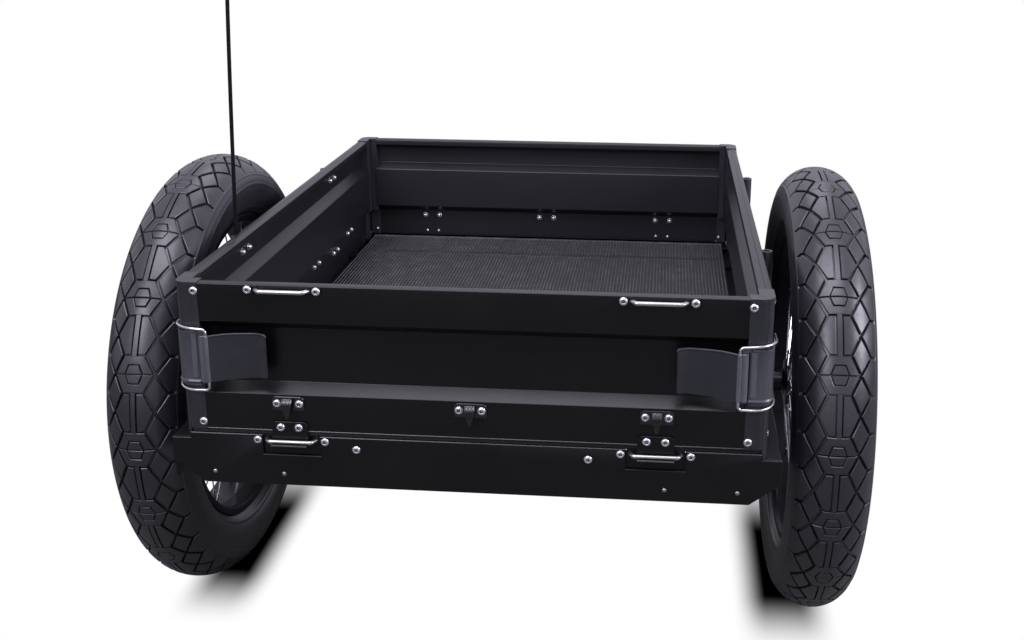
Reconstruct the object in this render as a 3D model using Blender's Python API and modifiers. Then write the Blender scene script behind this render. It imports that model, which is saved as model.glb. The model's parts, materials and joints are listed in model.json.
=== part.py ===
"""Two-wheeled cargo trailer: a sheet-metal box with drop gates at both ends on a beam chassis,
fat-tyred spoked wheels on a through axle, a plug-in drawbar with a hitch at the height of the
towing axle, a folding parking leg and a flag pole in one of four stake sockets.

Metres. X is across the trailer, Y forwards from the tailgate's outer face, Z up from the ground.
Every piece is placed in those terms, and the parent empty "trailer" moves them all to an origin
on the ground at the middle of the trailer's length.
"""

import math

import bmesh
import bpy
from mathutils import Matrix, Vector

# Cargo box
BOX_LENGTH = 0.835
BOX_HALF_WIDTH = 0.3225
RIM_TOP = 0.514
RIM_HEIGHT = 0.010
RIM_DEPTH = 0.015
SHEET = 0.002
BAND_LOW = 0.4705
RECESS_HIGH = 0.4605
SHELF_HIGH = 0.3965
SHELF_LOW = 0.3885
RECESS_DEPTH = 0.0145
GATE_LOW = 0.343
GAP = 0.0003

# Corner posts, measured in from the box's side face (u) and from its end face (v)
POST_WIDTH = 0.0255
SIDE_POST_LENGTH = 0.036
POST_DEPTH = 0.015
POST_FOOT_DEPTH = 0.008
POST_PROUD = 0.0005
CORNER_CENTRE = 0.012
CORNER_RADIUS = 0.0125
MITRE_DEGREES = 27.6
MITRE_GAP_DEGREES = 1.9
MITRE_SLOPE = 0.675
CAP_HEIGHT = 0.004
CAP_LIP = 0.0006

# Chassis
BEAM_LOW = 0.277
BEAM_HIGH = 0.338
BEAM_HALF_WIDTH = 0.340
BEAM_WALL = 0.003
BEAM_STEP = 0.318
LEDGE_TOP = 0.331
RAIL_FLANGE = 0.042
FLOOR_TOP = 0.340
FLOOR_THICKNESS = 0.0017
FLOOR_HALF_WIDTH = 0.3065
FLOOR_RAIL_PLACE = 0.715

# Gate hinges: plates on the gate curled round fixed bars on the crossbeam
HINGE_PLACE = 0.2025
HINGE_OFFSET = 0.0063
HINGE_HEIGHT = 0.333
HINGE_BAR_RADIUS = 0.0024
HINGE_PLATE_WIDTH = 0.0405
HINGE_PLATE_TOP = 0.3555
CURL_INNER_RADIUS = 0.0040
CURL_OUTER_RADIUS = 0.0060
NOTCH_HALF_WIDTH = 0.0325
NOTCH_LOW = 0.3145
NOTCH_DEPTH = 0.011
HOOK_PLACE = 0.203
HOOK_REACH = 0.0115
BAR_STRAIGHT = 0.0243
BAR_FEET = 0.0290
UPPER_BAR_Z = 0.5085
UPPER_BAR_STANDOFF = 0.0085

# Corner latches
LATCH_LOW = 0.402
LATCH_HIGH = 0.456
LATCH_HINGE = (0.0294, -0.0048)
LATCH_EYE = (0.0345, -0.0078)
LEVER_REACH = 0.0996
LEVER_THICKNESS = 0.0022
WRAP_OUTER = 0.0153
WRAP_INNER = 0.0133
WRAP_REACH = 0.026
EAR_WALL = 0.0022
FOOT_EAR = 0.0062
HINGE_PIN_RADIUS = 0.0015
BAIL_RADIUS = 0.0016
BAIL_STANDOFF = 0.0062
BAIL_REACH = 0.049
KEEPER_PROUD = 0.0041
KEEPER_REACH = 0.0455

# Stake sockets and flag pole
SOCKET_PLACES = (-0.200, 0.200)
SOCKET_X = 0.3305
SOCKET_RADIUS = 0.0072
SOCKET_BORE = 0.0039
SOCKET_LOW = 0.345
SOCKET_HIGH = 0.505
POLE_RADIUS = 0.0024
POLE_TOP = 1.500
FLAG_HOIST = 0.200
FLAG_FLY = 0.219
FLAG_MIDDLE = 1.360
FLAG_SAG = 0.085
FLAG_WAVE = 0.024

# Wheels
WHEEL_RADIUS = 0.290
TRACK_HALF = 0.4045
WHEEL_Y = 0.330
TYRE_HALF_WIDTH = 0.0487
TYRE_HALF_HEIGHT = 0.0458
TYRE_WALL = 0.005
BEAD_DEGREES = 148
WHEEL_STEPS = 40
SPOKES_A_SIDE = 18
SPOKE_RADIUS = 0.001
SPOKE_HUB_RADIUS = 0.0270
SPOKE_RIM_RADIUS = 0.1925
SPOKE_LEAD = math.radians(55)
SPOKE_HEIGHT = 0.0290
SPOKE_SPREAD = 0.0013
SPOKE_DISH = 0.0200
AXLE_RADIUS = 0.006
AXLE_END = 0.4525
COLLAR_END = 0.3442
NUT_START = 0.4448
AXLE_BEAM_HALF = 0.015

# Drawbar, hitch and parking leg
DRAWBAR_RADIUS = 0.016
DRAWBAR_Z = 0.2557
RECEIVER_HALF = 0.019
RECEIVER_BORE_HALF = 0.0165
HITCH = (-0.130, 1.400, 0.290)
PITCH_Y = 1.452
COUPLER_END = 1.530
COUPLER_EYE = 0.022
COUPLER_BORE = 0.0061
YAW_PIN_RADIUS = 0.005
PITCH_PIN_RADIUS = 0.004
LOCK_PIN = (0.0, 0.770, DRAWBAR_Z)
LOCK_PIN_RADIUS = 0.004
LEG_PIVOT = (0.090, 0.795, 0.252)
LEG_RAKE = 0.026
LEG_RADIUS = 0.0125

# The trailer reaches from its rear hooks to the hitch's front end, and the origin is halfway.
ORIGIN_Y = (COUPLER_END - HOOK_REACH) / 2

FINISHES = {
    "black_panel": ((0.012, 0.012, 0.013), 0.42, 0.3),
    "grey_post": ((0.030, 0.030, 0.034), 0.50, 0.2),
    "black_frame": ((0.010, 0.010, 0.011), 0.45, 0.3),
    "lever_coat": ((0.035, 0.035, 0.040), 0.45, 0.3),
    "zinc_wire": ((0.55, 0.55, 0.57), 0.30, 1.0),
    "floor_mesh": ((0.030, 0.030, 0.032), 0.50, 0.4),
    "tyre_rubber": ((0.022, 0.023, 0.027), 0.70, 0.0),
    "black_rim": ((0.012, 0.012, 0.014), 0.35, 0.4),
    "hub_metal": ((0.020, 0.020, 0.022), 0.35, 0.6),
    "steel": ((0.45, 0.45, 0.47), 0.30, 1.0),
    "black_plastic": ((0.015, 0.015, 0.016), 0.60, 0.0),
    "flag_cloth": ((0.85, 0.18, 0.02), 0.80, 0.0),
}

TURNS = {"X": (math.pi / 2, 0, math.pi / 2), "Y": (math.pi / 2, 0, 0), "Z": (0, 0, 0)}


def clear_scene():
    for obj in list(bpy.data.objects):
        bpy.data.objects.remove(obj, do_unlink=True)


def new_collection(name):
    collection = bpy.data.collections.new(name)
    bpy.context.scene.collection.children.link(collection)
    return collection


def new_empty(name, location, parent=None):
    """An empty at a place given in trailer terms, which carries the pieces of one moving body."""
    empty = bpy.data.objects.new(name, None)
    PARTS.objects.link(empty)
    empty.empty_display_size = 0.03
    empty.location = Vector(location)
    if parent:
        empty.parent = parent
        empty.location -= place_of(parent)
    return empty


def place_of(empty):
    """An empty's place in trailer terms."""
    place = Vector()
    while empty is not None and empty.name != "trailer":
        place += empty.location
        empty = empty.parent
    return place


def material(finish):
    found = bpy.data.materials.get(finish)
    if found:
        return found
    colour, roughness, metallic = FINISHES[finish]
    made = bpy.data.materials.new(finish)
    made.use_nodes = True
    shader = made.node_tree.nodes["Principled BSDF"]
    shader.inputs["Base Color"].default_value = (*colour, 1)
    shader.inputs["Roughness"].default_value = roughness
    shader.inputs["Metallic"].default_value = metallic
    made.diffuse_color = (*colour, 1)
    return made


def new_object(name, mesh, finish, carrier):
    """A piece with a finish, or with no finish a helper that only cuts or joins."""
    obj = bpy.data.objects.new(name, mesh)
    obj.parent = carrier
    obj.location = -place_of(carrier)
    if finish:
        PARTS.objects.link(obj)
        mesh.materials.append(material(finish))
        mesh.shade_smooth()
        mesh.set_sharp_from_angle(angle=math.radians(35))
    else:
        HELPERS.objects.link(obj)
        obj.hide_render = True
        obj.display_type = "WIRE"
    return obj


def mesh_of(build, name):
    mesh = bpy.data.meshes.new(name)
    shape = bmesh.new()
    build(shape)
    shape.to_mesh(mesh)
    shape.free()
    return mesh


def mesh_from_curve(curve, name):
    """The curve's solid as one welded mesh."""
    obj = bpy.data.objects.new(name + "_curve", curve)
    bpy.context.scene.collection.objects.link(obj)
    graph = bpy.context.evaluated_depsgraph_get()
    mesh = bpy.data.meshes.new_from_object(obj.evaluated_get(graph))
    bpy.data.objects.remove(obj)
    shape = bmesh.new()
    shape.from_mesh(mesh)
    bmesh.ops.remove_doubles(shape, verts=shape.verts, dist=0.00002)
    bmesh.ops.recalc_face_normals(shape, faces=shape.faces)
    shape.to_mesh(mesh)
    shape.free()
    mesh.name = name
    return mesh


def box(name, low, high, finish=None, carrier=None):
    low, high = Vector(low), Vector(high)
    size = Matrix.Diagonal((*(high - low), 1))
    mesh = mesh_of(lambda shape: bmesh.ops.create_cube(shape, size=1, matrix=size), name)
    obj = new_object(name, mesh, finish, carrier or TRAILER)
    obj.location += (low + high) / 2
    return obj


def rod(name, start, end, radius, finish=None, carrier=None, sides=20):
    start, end = Vector(start), Vector(end)

    def build(shape):
        bmesh.ops.create_cone(
            shape, cap_ends=True, segments=sides, radius1=radius, radius2=radius,
            depth=(end - start).length,
        )

    obj = new_object(name, mesh_of(build, name), finish, carrier or TRAILER)
    obj.location += (start + end) / 2
    obj.rotation_euler = (end - start).to_track_quat("Z", "Y").to_euler()
    return obj


def section(name, outlines, along, start, end, finish=None, carrier=None):
    """A flat outline carried along an axis. Its points are (y, z) along X, (x, z) along Y and
    (x, y) along Z. A second outline inside the first is a hole."""
    curve = bpy.data.curves.new(name, "CURVE")
    curve.dimensions = "2D"
    curve.fill_mode = "BOTH"
    curve.extrude = abs(end - start) / 2
    for outline in outlines:
        spline = curve.splines.new("POLY")
        spline.points.add(len(outline) - 1)
        for point, (first, second) in zip(spline.points, outline):
            point.co = (first, second, 0, 1)
        spline.use_cyclic_u = True
    obj = new_object(name, mesh_from_curve(curve, name), finish, carrier or TRAILER)
    middle = (start + end) / 2
    obj.location += Vector([middle if axis == along else 0 for axis in "XYZ"])
    obj.rotation_euler = TURNS[along]
    return obj


def wire(name, path, radius, finish=None, carrier=None, resolution=2):
    """A round rod or tube along a path of points."""
    curve = bpy.data.curves.new(name, "CURVE")
    curve.dimensions = "3D"
    curve.bevel_depth = radius
    curve.bevel_resolution = resolution
    curve.use_fill_caps = True
    spline = curve.splines.new("POLY")
    spline.points.add(len(path) - 1)
    for point, place in zip(spline.points, path):
        point.co = (*place, 1)
    return new_object(name, mesh_from_curve(curve, name), finish, carrier or TRAILER)


def turned(name, profile, steps, centre, facing=1, finish=None, carrier=None):
    """A closed profile of (radius, height) points turned about X through the centre. Heights
    count towards +X, or towards -X when facing is -1. A flat of the many-sided ring faces down."""
    half_step = math.pi / steps
    mesh = bpy.data.meshes.new(name)
    points = [(r * math.cos(half_step), r * math.sin(half_step), h) for r, h in profile]
    edges = [(i, (i + 1) % len(profile)) for i in range(len(profile))]
    mesh.from_pydata(points, edges, [])
    obj = new_object(name, mesh, finish, carrier or TRAILER)
    obj.location += Vector(centre)
    obj.rotation_euler = (0, facing * math.pi / 2, 0)
    screw = obj.modifiers.new("turn", "SCREW")
    screw.steps = steps
    screw.render_steps = steps
    screw.use_merge_vertices = True
    screw.merge_threshold = 0.00005
    return obj


def combine(obj, operation, *others):
    for other in others:
        boolean = obj.modifiers.new(operation.lower(), "BOOLEAN")
        boolean.operation = operation
        boolean.solver = "EXACT"
        boolean.object = other
    return obj


def bent(corners, radii, steps=4):
    """The path through the corners, each inner one rounded with an arc of its radius."""
    corners = [Vector(corner) for corner in corners]
    path = [corners[0]]
    for before, corner, after, radius in zip(corners, corners[1:], corners[2:], radii):
        back = (before - corner).normalized()
        onwards = (after - corner).normalized()
        half = back.angle(onwards) / 2
        centre = corner + (back + onwards).normalized() * radius / math.sin(half)
        start = corner + back * radius / math.tan(half) - centre
        end = corner + onwards * radius / math.tan(half) - centre
        path += [centre + start.slerp(end, i / steps) * radius for i in range(steps + 1)]
    path.append(corners[-1])
    return path


def arc(centre, radius, first, last, steps):
    """Points from the first angle to the last, in degrees anticlockwise from the first axis."""
    angles = [math.radians(first + (last - first) * i / steps) for i in range(steps + 1)]
    return [(centre[0] + radius * math.cos(a), centre[1] + radius * math.sin(a)) for a in angles]


def round_topped(half_width, low, high, radius, middle=0.0):
    """An upright rectangle whose two upper corners are rounded."""
    right = arc((middle + half_width - radius, high - radius), radius, 0, 90, 3)
    left = arc((middle - half_width + radius, high - radius), radius, 90, 180, 3)
    return [(middle - half_width, low), (middle + half_width, low)] + right + left


def panel_outline(bottom):
    """The panel's stepped section as (depth, z): a rim, an upper band, a middle set inwards over
    a sloped shelf, and a lower band, all one sheet of even thickness."""
    upper = math.tan(math.atan2(RECESS_DEPTH, BAND_LOW - RECESS_HIGH) / 2) * SHEET
    lower = math.tan(math.atan2(RECESS_DEPTH, SHELF_HIGH - SHELF_LOW) / 2) * SHEET
    outside = [
        (0, bottom), (0, SHELF_LOW), (RECESS_DEPTH, SHELF_HIGH), (RECESS_DEPTH, RECESS_HIGH),
        (0, BAND_LOW), (0, RIM_TOP - 0.001), (0.001, RIM_TOP),
    ]
    inside = [
        (RIM_DEPTH - 0.001, RIM_TOP), (RIM_DEPTH, RIM_TOP - 0.001),
        (RIM_DEPTH, RIM_TOP - RIM_HEIGHT), (SHEET, RIM_TOP - RIM_HEIGHT),
        (SHEET, BAND_LOW + upper), (RECESS_DEPTH + SHEET, RECESS_HIGH + upper),
        (RECESS_DEPTH + SHEET, SHELF_HIGH - lower), (SHEET, SHELF_LOW - lower), (SHEET, bottom),
    ]
    return outside + inside


def end_y(end, depth):
    """The place along the trailer at a depth in from the rear (end 0) or the front (end 1) face."""
    return depth if end == 0 else BOX_LENGTH - depth


def corner_place(side, end, point):
    """A corner's (u, v) point as the trailer's (x, y)."""
    return (side * (BOX_HALF_WIDTH - point[0]), end_y(end, point[1]))


def corner_arc(radius, first, last, steps=5):
    """Part of the rounded outer corner, from the end face (0 degrees) to the side face (90)."""
    return [
        (CORNER_CENTRE - radius * math.sin(a), CORNER_CENTRE - radius * math.cos(a))
        for a in [math.radians(first + (last - first) * i / steps) for i in range(steps + 1)]
    ]


def gate_post_outline(lip=0.0):
    """The half-post on the gate, in (u, v): its end against the panel, the rounded corner up to
    the mitre, and the mitre back to the inner face. A lip makes it larger all round."""
    curve = corner_arc(CORNER_RADIUS + lip, 0, MITRE_DEGREES)
    u, v = curve[-1]
    far, edge = POST_DEPTH + lip, POST_WIDTH + lip / 6
    return [(edge, -POST_PROUD - lip)] + curve + [(u + (far - v) * MITRE_SLOPE, far), (edge, far)]


def side_post_outline(lip=0.0):
    """The half-post on the side, from the mitre round to its end against the side panel."""
    curve = corner_arc(CORNER_RADIUS + lip, MITRE_DEGREES + MITRE_GAP_DEGREES, 90)
    u, v = curve[0]
    far, edge = POST_DEPTH + lip, SIDE_POST_LENGTH + lip / 6
    return curve + [(-POST_PROUD - lip, edge), (far, edge), (far, v + (far - u) / MITRE_SLOPE)]


def corner_prism(name, points, side, end, low, high, finish=None, carrier=None):
    """An upright prism over (u, v) points at one of the box's corners."""
    places = [corner_place(side, end, point) for point in points]
    return section(name, [places], "Z", low, high, finish, carrier)


def post(name, on_gate, bottom, side, end, carrier):
    """A corner half-post: thinner below the panel's shelf, with a cap that has a small lip."""
    outline = gate_post_outline if on_gate else side_post_outline
    body = corner_prism(name, outline(), side, end, bottom, RIM_TOP, "grey_post", carrier)
    cap = corner_prism(name + "_cap", outline(CAP_LIP), side, end, RIM_TOP - CAP_HEIGHT,
                       RIM_TOP + CAP_LIP, None, carrier)
    near, far = POST_FOOT_DEPTH, 2 * SIDE_POST_LENGTH
    behind = [(-near, near), (far, near), (far, far), (-near, far)]
    if not on_gate:
        behind = [(v, u) for u, v in behind]
    thinner = corner_prism(name + "_thinner", behind, side, end, bottom - near, SHELF_LOW, None, carrier)
    combine(body, "DIFFERENCE", thinner)
    return combine(body, "UNION", cap)


def latch_base(name, side, end, carrier):
    """The latch's plate: it wraps the corner clear of the side post and carries the lever's
    hinge pin between two ears. Returned as helpers for the gate post to join."""
    edge, inside = 0.0235, 0.001
    outer, inner = CORNER_CENTRE - WRAP_OUTER, CORNER_CENTRE - WRAP_INNER
    wrap = (
        [(edge, outer)] + corner_arc(WRAP_OUTER, 0, 90) + [(outer, WRAP_REACH), (inner, WRAP_REACH)]
        + corner_arc(WRAP_INNER, 90, 24) + [(0.008, inside), (edge, inside)]
    )
    ear = [(0.020, -0.003)] + arc(LATCH_HINGE, 0.0033, 180, 450, 6) + [(0.020, 0.0005)]
    ear_low, ear_high = LATCH_LOW - GAP - FOOT_EAR, LATCH_HIGH + GAP + EAR_WALL
    trim = 0.0002
    pieces = [
        corner_prism(name, wrap, side, end, ear_low + trim, ear_high - trim, None, carrier),
        corner_prism(name + "_top_ear", ear, side, end, LATCH_HIGH + GAP, ear_high, None, carrier),
        corner_prism(name + "_foot_ear", ear, side, end, ear_low, LATCH_LOW - GAP, None, carrier),
    ]
    x, y = corner_place(side, end, LATCH_HINGE)
    pin_start, pin_stop = (x, y, ear_low + EAR_WALL / 2), (x, y, ear_high - EAR_WALL / 2)
    return pieces + [rod(name + "_pin", pin_start, pin_stop, HINGE_PIN_RADIUS, None, carrier, 12)]


def ribbon(path, thickness):
    """The closed outline of a strip of even thickness along a path of (u, v) points."""
    path = [Vector(point) for point in path]
    sides = []
    for i, point in enumerate(path):
        along = (path[min(i + 1, len(path) - 1)] - path[max(i - 1, 0)]).normalized()
        sides.append(Vector((-along.y, along.x)) * thickness / 2)
    left = [tuple(point + side) for point, side in zip(path, sides)]
    right = [tuple(point - side) for point, side in zip(path, sides)]
    return left + right[::-1]


def latch_lever(name, side, end, carrier):
    """The lever: a curved plate whose rolled edge turns on the hinge pin, with an eye for the
    wire bail beside it."""

    def upright(label, point, radius, low=LATCH_LOW, high=LATCH_HIGH):
        x, y = corner_place(side, end, point)
        return rod(name + label, (x, y, low), (x, y, high), radius, None, carrier, 16)

    path = [(0.0355, -0.0080), (0.0425, -0.0058), (0.0525, -0.0030), (0.0635, -0.0012),
            (0.0800, -0.0002), (0.0890, -0.0004), (LEVER_REACH, -0.0038)]
    outline = ribbon(path, LEVER_THICKNESS)
    top = LATCH_HIGH + 0.0020
    plate = corner_prism(name, outline, side, end, LATCH_LOW, top, "lever_coat", carrier)
    tip = 0.006
    face = (
        [(0.030, LATCH_LOW), (0.048, LATCH_LOW)]
        + arc((LEVER_REACH - tip, LATCH_LOW + 0.0045 + tip), tip, 270, 360, 4)
        + arc((LEVER_REACH - tip, top - tip), tip, 0, 90, 4)
        + [(0.048, LATCH_HIGH), (0.030, LATCH_HIGH)]
    )
    face = [(side * (BOX_HALF_WIDTH - u), z) for u, z in face]
    depth = sorted((end_y(end, -0.02), end_y(end, 0.01)))
    shape = section(name + "_face", [face], "Y", *depth, None, carrier)
    combine(plate, "INTERSECT", shape)
    barrel = upright("_barrel", LATCH_HINGE, 0.0040)
    eye = upright("_eye", LATCH_EYE, 0.0028, LATCH_LOW + 0.0002, LATCH_HIGH - 0.0002)
    combine(plate, "UNION", barrel, eye)
    bore = upright("_bore", LATCH_HINGE, 0.0019, LATCH_LOW - 0.01, LATCH_HIGH + 0.01)
    return combine(plate, "DIFFERENCE", bore)


def latch_bail(name, side, end, carrier):
    """The wire loop: from the lever's eye, above and below the plate, round the corner to an
    upright run in front of the side post's keeper."""
    u, v = LATCH_EYE
    high, low = LATCH_HIGH + GAP, LATCH_LOW - GAP
    corners = [
        (u, v, high), (u, v, high + 0.0060), (-BAIL_STANDOFF, v + 0.0010, high + 0.0075),
        (-BAIL_STANDOFF, BAIL_REACH, high + 0.0030), (-BAIL_STANDOFF, BAIL_REACH, low - 0.0050),
        (-BAIL_STANDOFF, v + 0.0010, low - 0.0110), (u, v, low - 0.0100), (u, v, low),
    ]
    path = bent(corners, [0.004, 0.018, 0.006, 0.006, 0.018, 0.004], 3)
    path = [(*corner_place(side, end, point), point[2]) for point in path]
    return wire(name, path, BAIL_RADIUS, "zinc_wire", carrier)


def gate_panel(name, end, carrier):
    half = BOX_HALF_WIDTH - POST_WIDTH - GAP
    outline = [(end_y(end, depth), z) for depth, z in panel_outline(GATE_LOW)]
    return section(name, [outline], "X", -half, half, "black_panel", carrier)


def hinge_plate(name, x, end, carrier):
    """A plate flat on the gate's lower band, its lower end curled round the crossbeam's bar."""
    centre = (-HINGE_OFFSET, HINGE_HEIGHT)
    outer, inner = CURL_OUTER_RADIUS, CURL_INNER_RADIUS
    outline = (
        [(outer - HINGE_OFFSET, HINGE_PLATE_TOP)]
        + arc(centre, outer, 0, -150, 9)
        + arc(centre, inner, -150, 0, 9)
        + [(inner - HINGE_OFFSET, HINGE_PLATE_TOP)]
    )
    outline = [(end_y(end, depth), z) for depth, z in outline]
    half = HINGE_PLATE_WIDTH / 2
    plate = section(name, [outline], "X", x - half, x + half, "black_frame", carrier)
    face = round_topped(half, HINGE_HEIGHT - 0.02, HINGE_PLATE_TOP, 0.005, x)
    depth = sorted((end_y(end, -0.03), end_y(end, 0.01)))
    return combine(plate, "INTERSECT", section(name + "_face", [face], "Y", *depth, None, carrier))


def bar(name, x, z, standoff, end, feet_depth, carrier):
    """A U-shaped round bar standing off an end face, its straight part along X."""
    corners = [
        (x - BAR_FEET, end_y(end, feet_depth), z), (x - BAR_STRAIGHT, end_y(end, -standoff), z),
        (x + BAR_STRAIGHT, end_y(end, -standoff), z), (x + BAR_FEET, end_y(end, feet_depth), z),
    ]
    return wire(name, bent(corners, [0.004, 0.004], 3), HINGE_BAR_RADIUS, "steel", carrier)


def upper_bar(name, x, carrier):
    """The bar near the tailgate's rim, its ends on two small bolted pads."""
    piece = bar(name, x, UPPER_BAR_Z, UPPER_BAR_STANDOFF, 0, -0.0018, carrier)
    for word, side in (("left", -1), ("right", 1)):
        xs = sorted((x + side * 0.0265, x + side * 0.0430))
        pad = box(f"{name}_{word}_pad", (xs[0], -0.0024, UPPER_BAR_Z - 0.0040),
                  (xs[1], -GAP, UPPER_BAR_Z + 0.0040), None, carrier)
        combine(piece, "UNION", pad)
    return piece


def tie_hook(name, x, carrier):
    """A lashing hook: a small plate with an arched, pointed tongue, open downwards."""
    low, high = 0.3695, 0.3855
    face = round_topped(0.018, low, high, 0.004, x)
    plate = section(name, [face], "Y", -0.0023, -GAP, "black_frame", carrier)
    arch = [(-0.001, 0.3838), (-0.0062, 0.3846), (-0.0100, 0.3815), (-HOOK_REACH, 0.3745),
            (-0.0100, 0.3618), (-0.0082, 0.3700), (-0.0074, 0.3760), (-0.0050, 0.3790),
            (-0.001, 0.3782)]
    tongue = section(name + "_tongue", [arch], "X", x - 0.005, x + 0.005, None, carrier)
    front = [(x - 0.0048, 0.388), (x - 0.0048, 0.3730), (x - 0.0006, 0.3610),
             (x + 0.0006, 0.3610), (x + 0.0048, 0.3730), (x + 0.0048, 0.388)]
    point = section(name + "_point", [front], "Y", -0.02, 0.005, None, carrier)
    combine(tongue, "INTERSECT", point)
    return combine(plate, "UNION", tongue)


def build_gate(gate, end):
    """A drop gate: its panel, half-posts with latch plates, and hinge plates, with two corner
    latches. The tailgate also carries lashing hooks and the bars that a stacked side drops onto."""
    axis_place = (0, end_y(end, -HINGE_OFFSET), HINGE_HEIGHT)
    carrier = new_empty(gate + "_axis", axis_place, TRAILER)
    gate_panel(gate + "_panel", end, carrier)
    for word, side in (("left", -1), ("right", 1)):
        half_post = post(f"{gate}_{word}_post", True, GATE_LOW + GAP, side, end, carrier)
        combine(half_post, "UNION", *latch_base(f"{gate}_{word}_latch_base", side, end, carrier))
        hinge_plate(f"{gate}_{word}_hinge", side * HINGE_PLACE, end, carrier)
        x, y = corner_place(side, end, LATCH_HINGE)
        lever_axis = new_empty(f"{gate}_{word}_lever_axis", (x, y, LATCH_LOW), carrier)
        latch_lever(f"{gate}_{word}_latch_lever", side, end, lever_axis)
        x, y = corner_place(side, end, LATCH_EYE)
        bail_axis = new_empty(f"{gate}_{word}_bail_axis", (x, y, LATCH_LOW), lever_axis)
        latch_bail(f"{gate}_{word}_latch_bail", side, end, bail_axis)
    if end == 0:
        for word, x in (("left", -1), ("middle", 0), ("right", 1)):
            tie_hook(f"tie_hook_{word}", x * HOOK_PLACE, carrier)
        for word, side in (("left", -1), ("right", 1)):
            upper_bar(f"upper_bar_{word}", side * HINGE_PLACE, carrier)


def build_sides():
    """Both bolted side panels, their half-posts with keepers, and the stake sockets outside."""
    foot = LEDGE_TOP + GAP
    for word, side in (("left", -1), ("right", 1)):
        outline = [(side * (BOX_HALF_WIDTH - depth), z) for depth, z in panel_outline(foot)]
        start = SIDE_POST_LENGTH + GAP
        section(f"{word}_side_panel", [outline], "Y", start, BOX_LENGTH - start, "black_panel")
        for place, end in (("rear", 0), ("front", 1)):
            name = f"{word}_{place}_side_post"
            half_post = post(name, False, foot, side, end, TRAILER)
            keeper = [(-KEEPER_PROUD, 0.0300), (-KEEPER_PROUD, KEEPER_REACH),
                      (-KEEPER_PROUD + 0.003, KEEPER_REACH), (0.004, 0.0400), (0.004, 0.0300)]
            low, high = LATCH_LOW + 0.002, LATCH_HIGH - 0.004
            combine(half_post, "UNION", corner_prism(name + "_keeper", keeper, side, end, low, high))
            clear, deep = BOX_HALF_WIDTH - BEAM_STEP - GAP, 0.020
            over_beam = [(clear, -deep), (deep, -deep), (deep, 2 * deep), (clear, 2 * deep)]
            relief = corner_prism(name + "_relief", over_beam, side, end, foot - deep, BEAM_HIGH + GAP)
            combine(half_post, "DIFFERENCE", relief)
        for place, offset in (("rear", SOCKET_PLACES[0]), ("front", SOCKET_PLACES[1])):
            stake_socket(f"{word}_{place}_stake_socket", side, BOX_LENGTH / 2 + offset)


def stake_socket(name, side, y):
    """An upright tube, open at the top, on two straps bolted through the side panel."""
    x = side * SOCKET_X
    tube = rod(name, (x, y, SOCKET_LOW), (x, y, SOCKET_HIGH), SOCKET_RADIUS, "grey_post")
    straps = []
    near, far = side * (BOX_HALF_WIDTH + GAP), side * (BOX_HALF_WIDTH + 0.0025)
    for label, z, half in (("_upper_strap", 0.488, 0.018), ("_lower_strap", 0.369, 0.016)):
        low = (min(near, far), y - half, z - 0.008)
        high = (max(near, far), y + half, z + 0.008)
        straps.append(box(name + label, low, high))
    combine(tube, "UNION", *straps)
    bore = rod(name + "_bore", (x, y, SOCKET_LOW + 0.005), (x, y, RIM_TOP), SOCKET_BORE)
    return combine(tube, "DIFFERENCE", bore)


def crossbeam(name, end):
    """A folded channel, cut to the end face's outline with its chamfered lower corners, and
    notched for each hinge."""
    foot, top, wall = 0.025, 0.030, BEAM_WALL
    channel = [
        (0, BEAM_LOW), (foot, BEAM_LOW), (foot, BEAM_LOW + wall), (wall, BEAM_LOW + wall),
        (wall, BEAM_HIGH - wall), (top, BEAM_HIGH - wall), (top, BEAM_HIGH), (0, BEAM_HIGH),
    ]
    channel = [(end_y(end, depth), z) for depth, z in channel]
    half = BEAM_HALF_WIDTH
    beam = section(name, [channel], "X", -half - 0.001, half + 0.001, "black_frame")
    low, high = BEAM_LOW - 0.001, BEAM_HIGH + 0.001
    face = [(0.3041, low), (half, 0.3026), (half, LEDGE_TOP), (BEAM_STEP, LEDGE_TOP), (BEAM_STEP, high)]
    face += [(-x, z) for x, z in reversed(face)]
    depth = sorted((end_y(end, -0.001), end_y(end, top + 0.001)))
    combine(beam, "INTERSECT", section(name + "_face", [face], "Y", *depth))
    for side in (-1, 1):
        x = side * HINGE_PLACE
        near, far = sorted((end_y(end, -0.001), end_y(end, NOTCH_DEPTH)))
        notch = box(f"{name}_notch", (x - NOTCH_HALF_WIDTH, near, NOTCH_LOW),
                    (x + NOTCH_HALF_WIDTH, far, high))
        combine(beam, "DIFFERENCE", notch)
    return beam


def hinge_bar(name, x, end):
    """The fixed round bar that a hinge plate turns on, welded to a plate behind the beam's web."""
    piece = bar(name, x, HINGE_HEIGHT, HINGE_OFFSET, end, 0.0040, TRAILER)
    near = BEAM_WALL + GAP
    ys = sorted((end_y(end, near), end_y(end, near + 0.002)))
    back = box(name + "_back", (x - 0.045, ys[0], 0.3175), (x + 0.045, ys[1], 0.3345))
    return combine(piece, "UNION", back)


def side_rail(word, side):
    """An angle under the side panel, with a hole for the axle."""
    outer, low, under = BEAM_HALF_WIDTH, BEAM_LOW + BEAM_WALL, LEDGE_TOP - BEAM_WALL
    web, lip = outer - BEAM_WALL, outer - RAIL_FLANGE
    angle = [(outer, low), (outer, LEDGE_TOP), (lip, LEDGE_TOP), (lip, under), (web, under), (web, low)]
    angle = [(side * x, z) for x, z in angle]
    end = BEAM_WALL + GAP
    rail = section(f"{word}_side_rail", [angle], "Y", end, BOX_LENGTH - end, "black_frame")
    start = (side * (web - 0.01), WHEEL_Y, WHEEL_RADIUS)
    stop = (side * (outer + 0.01), WHEEL_Y, WHEEL_RADIUS)
    return combine(rail, "DIFFERENCE", rod(f"{word}_axle_hole", start, stop, AXLE_RADIUS + 0.002))


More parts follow.
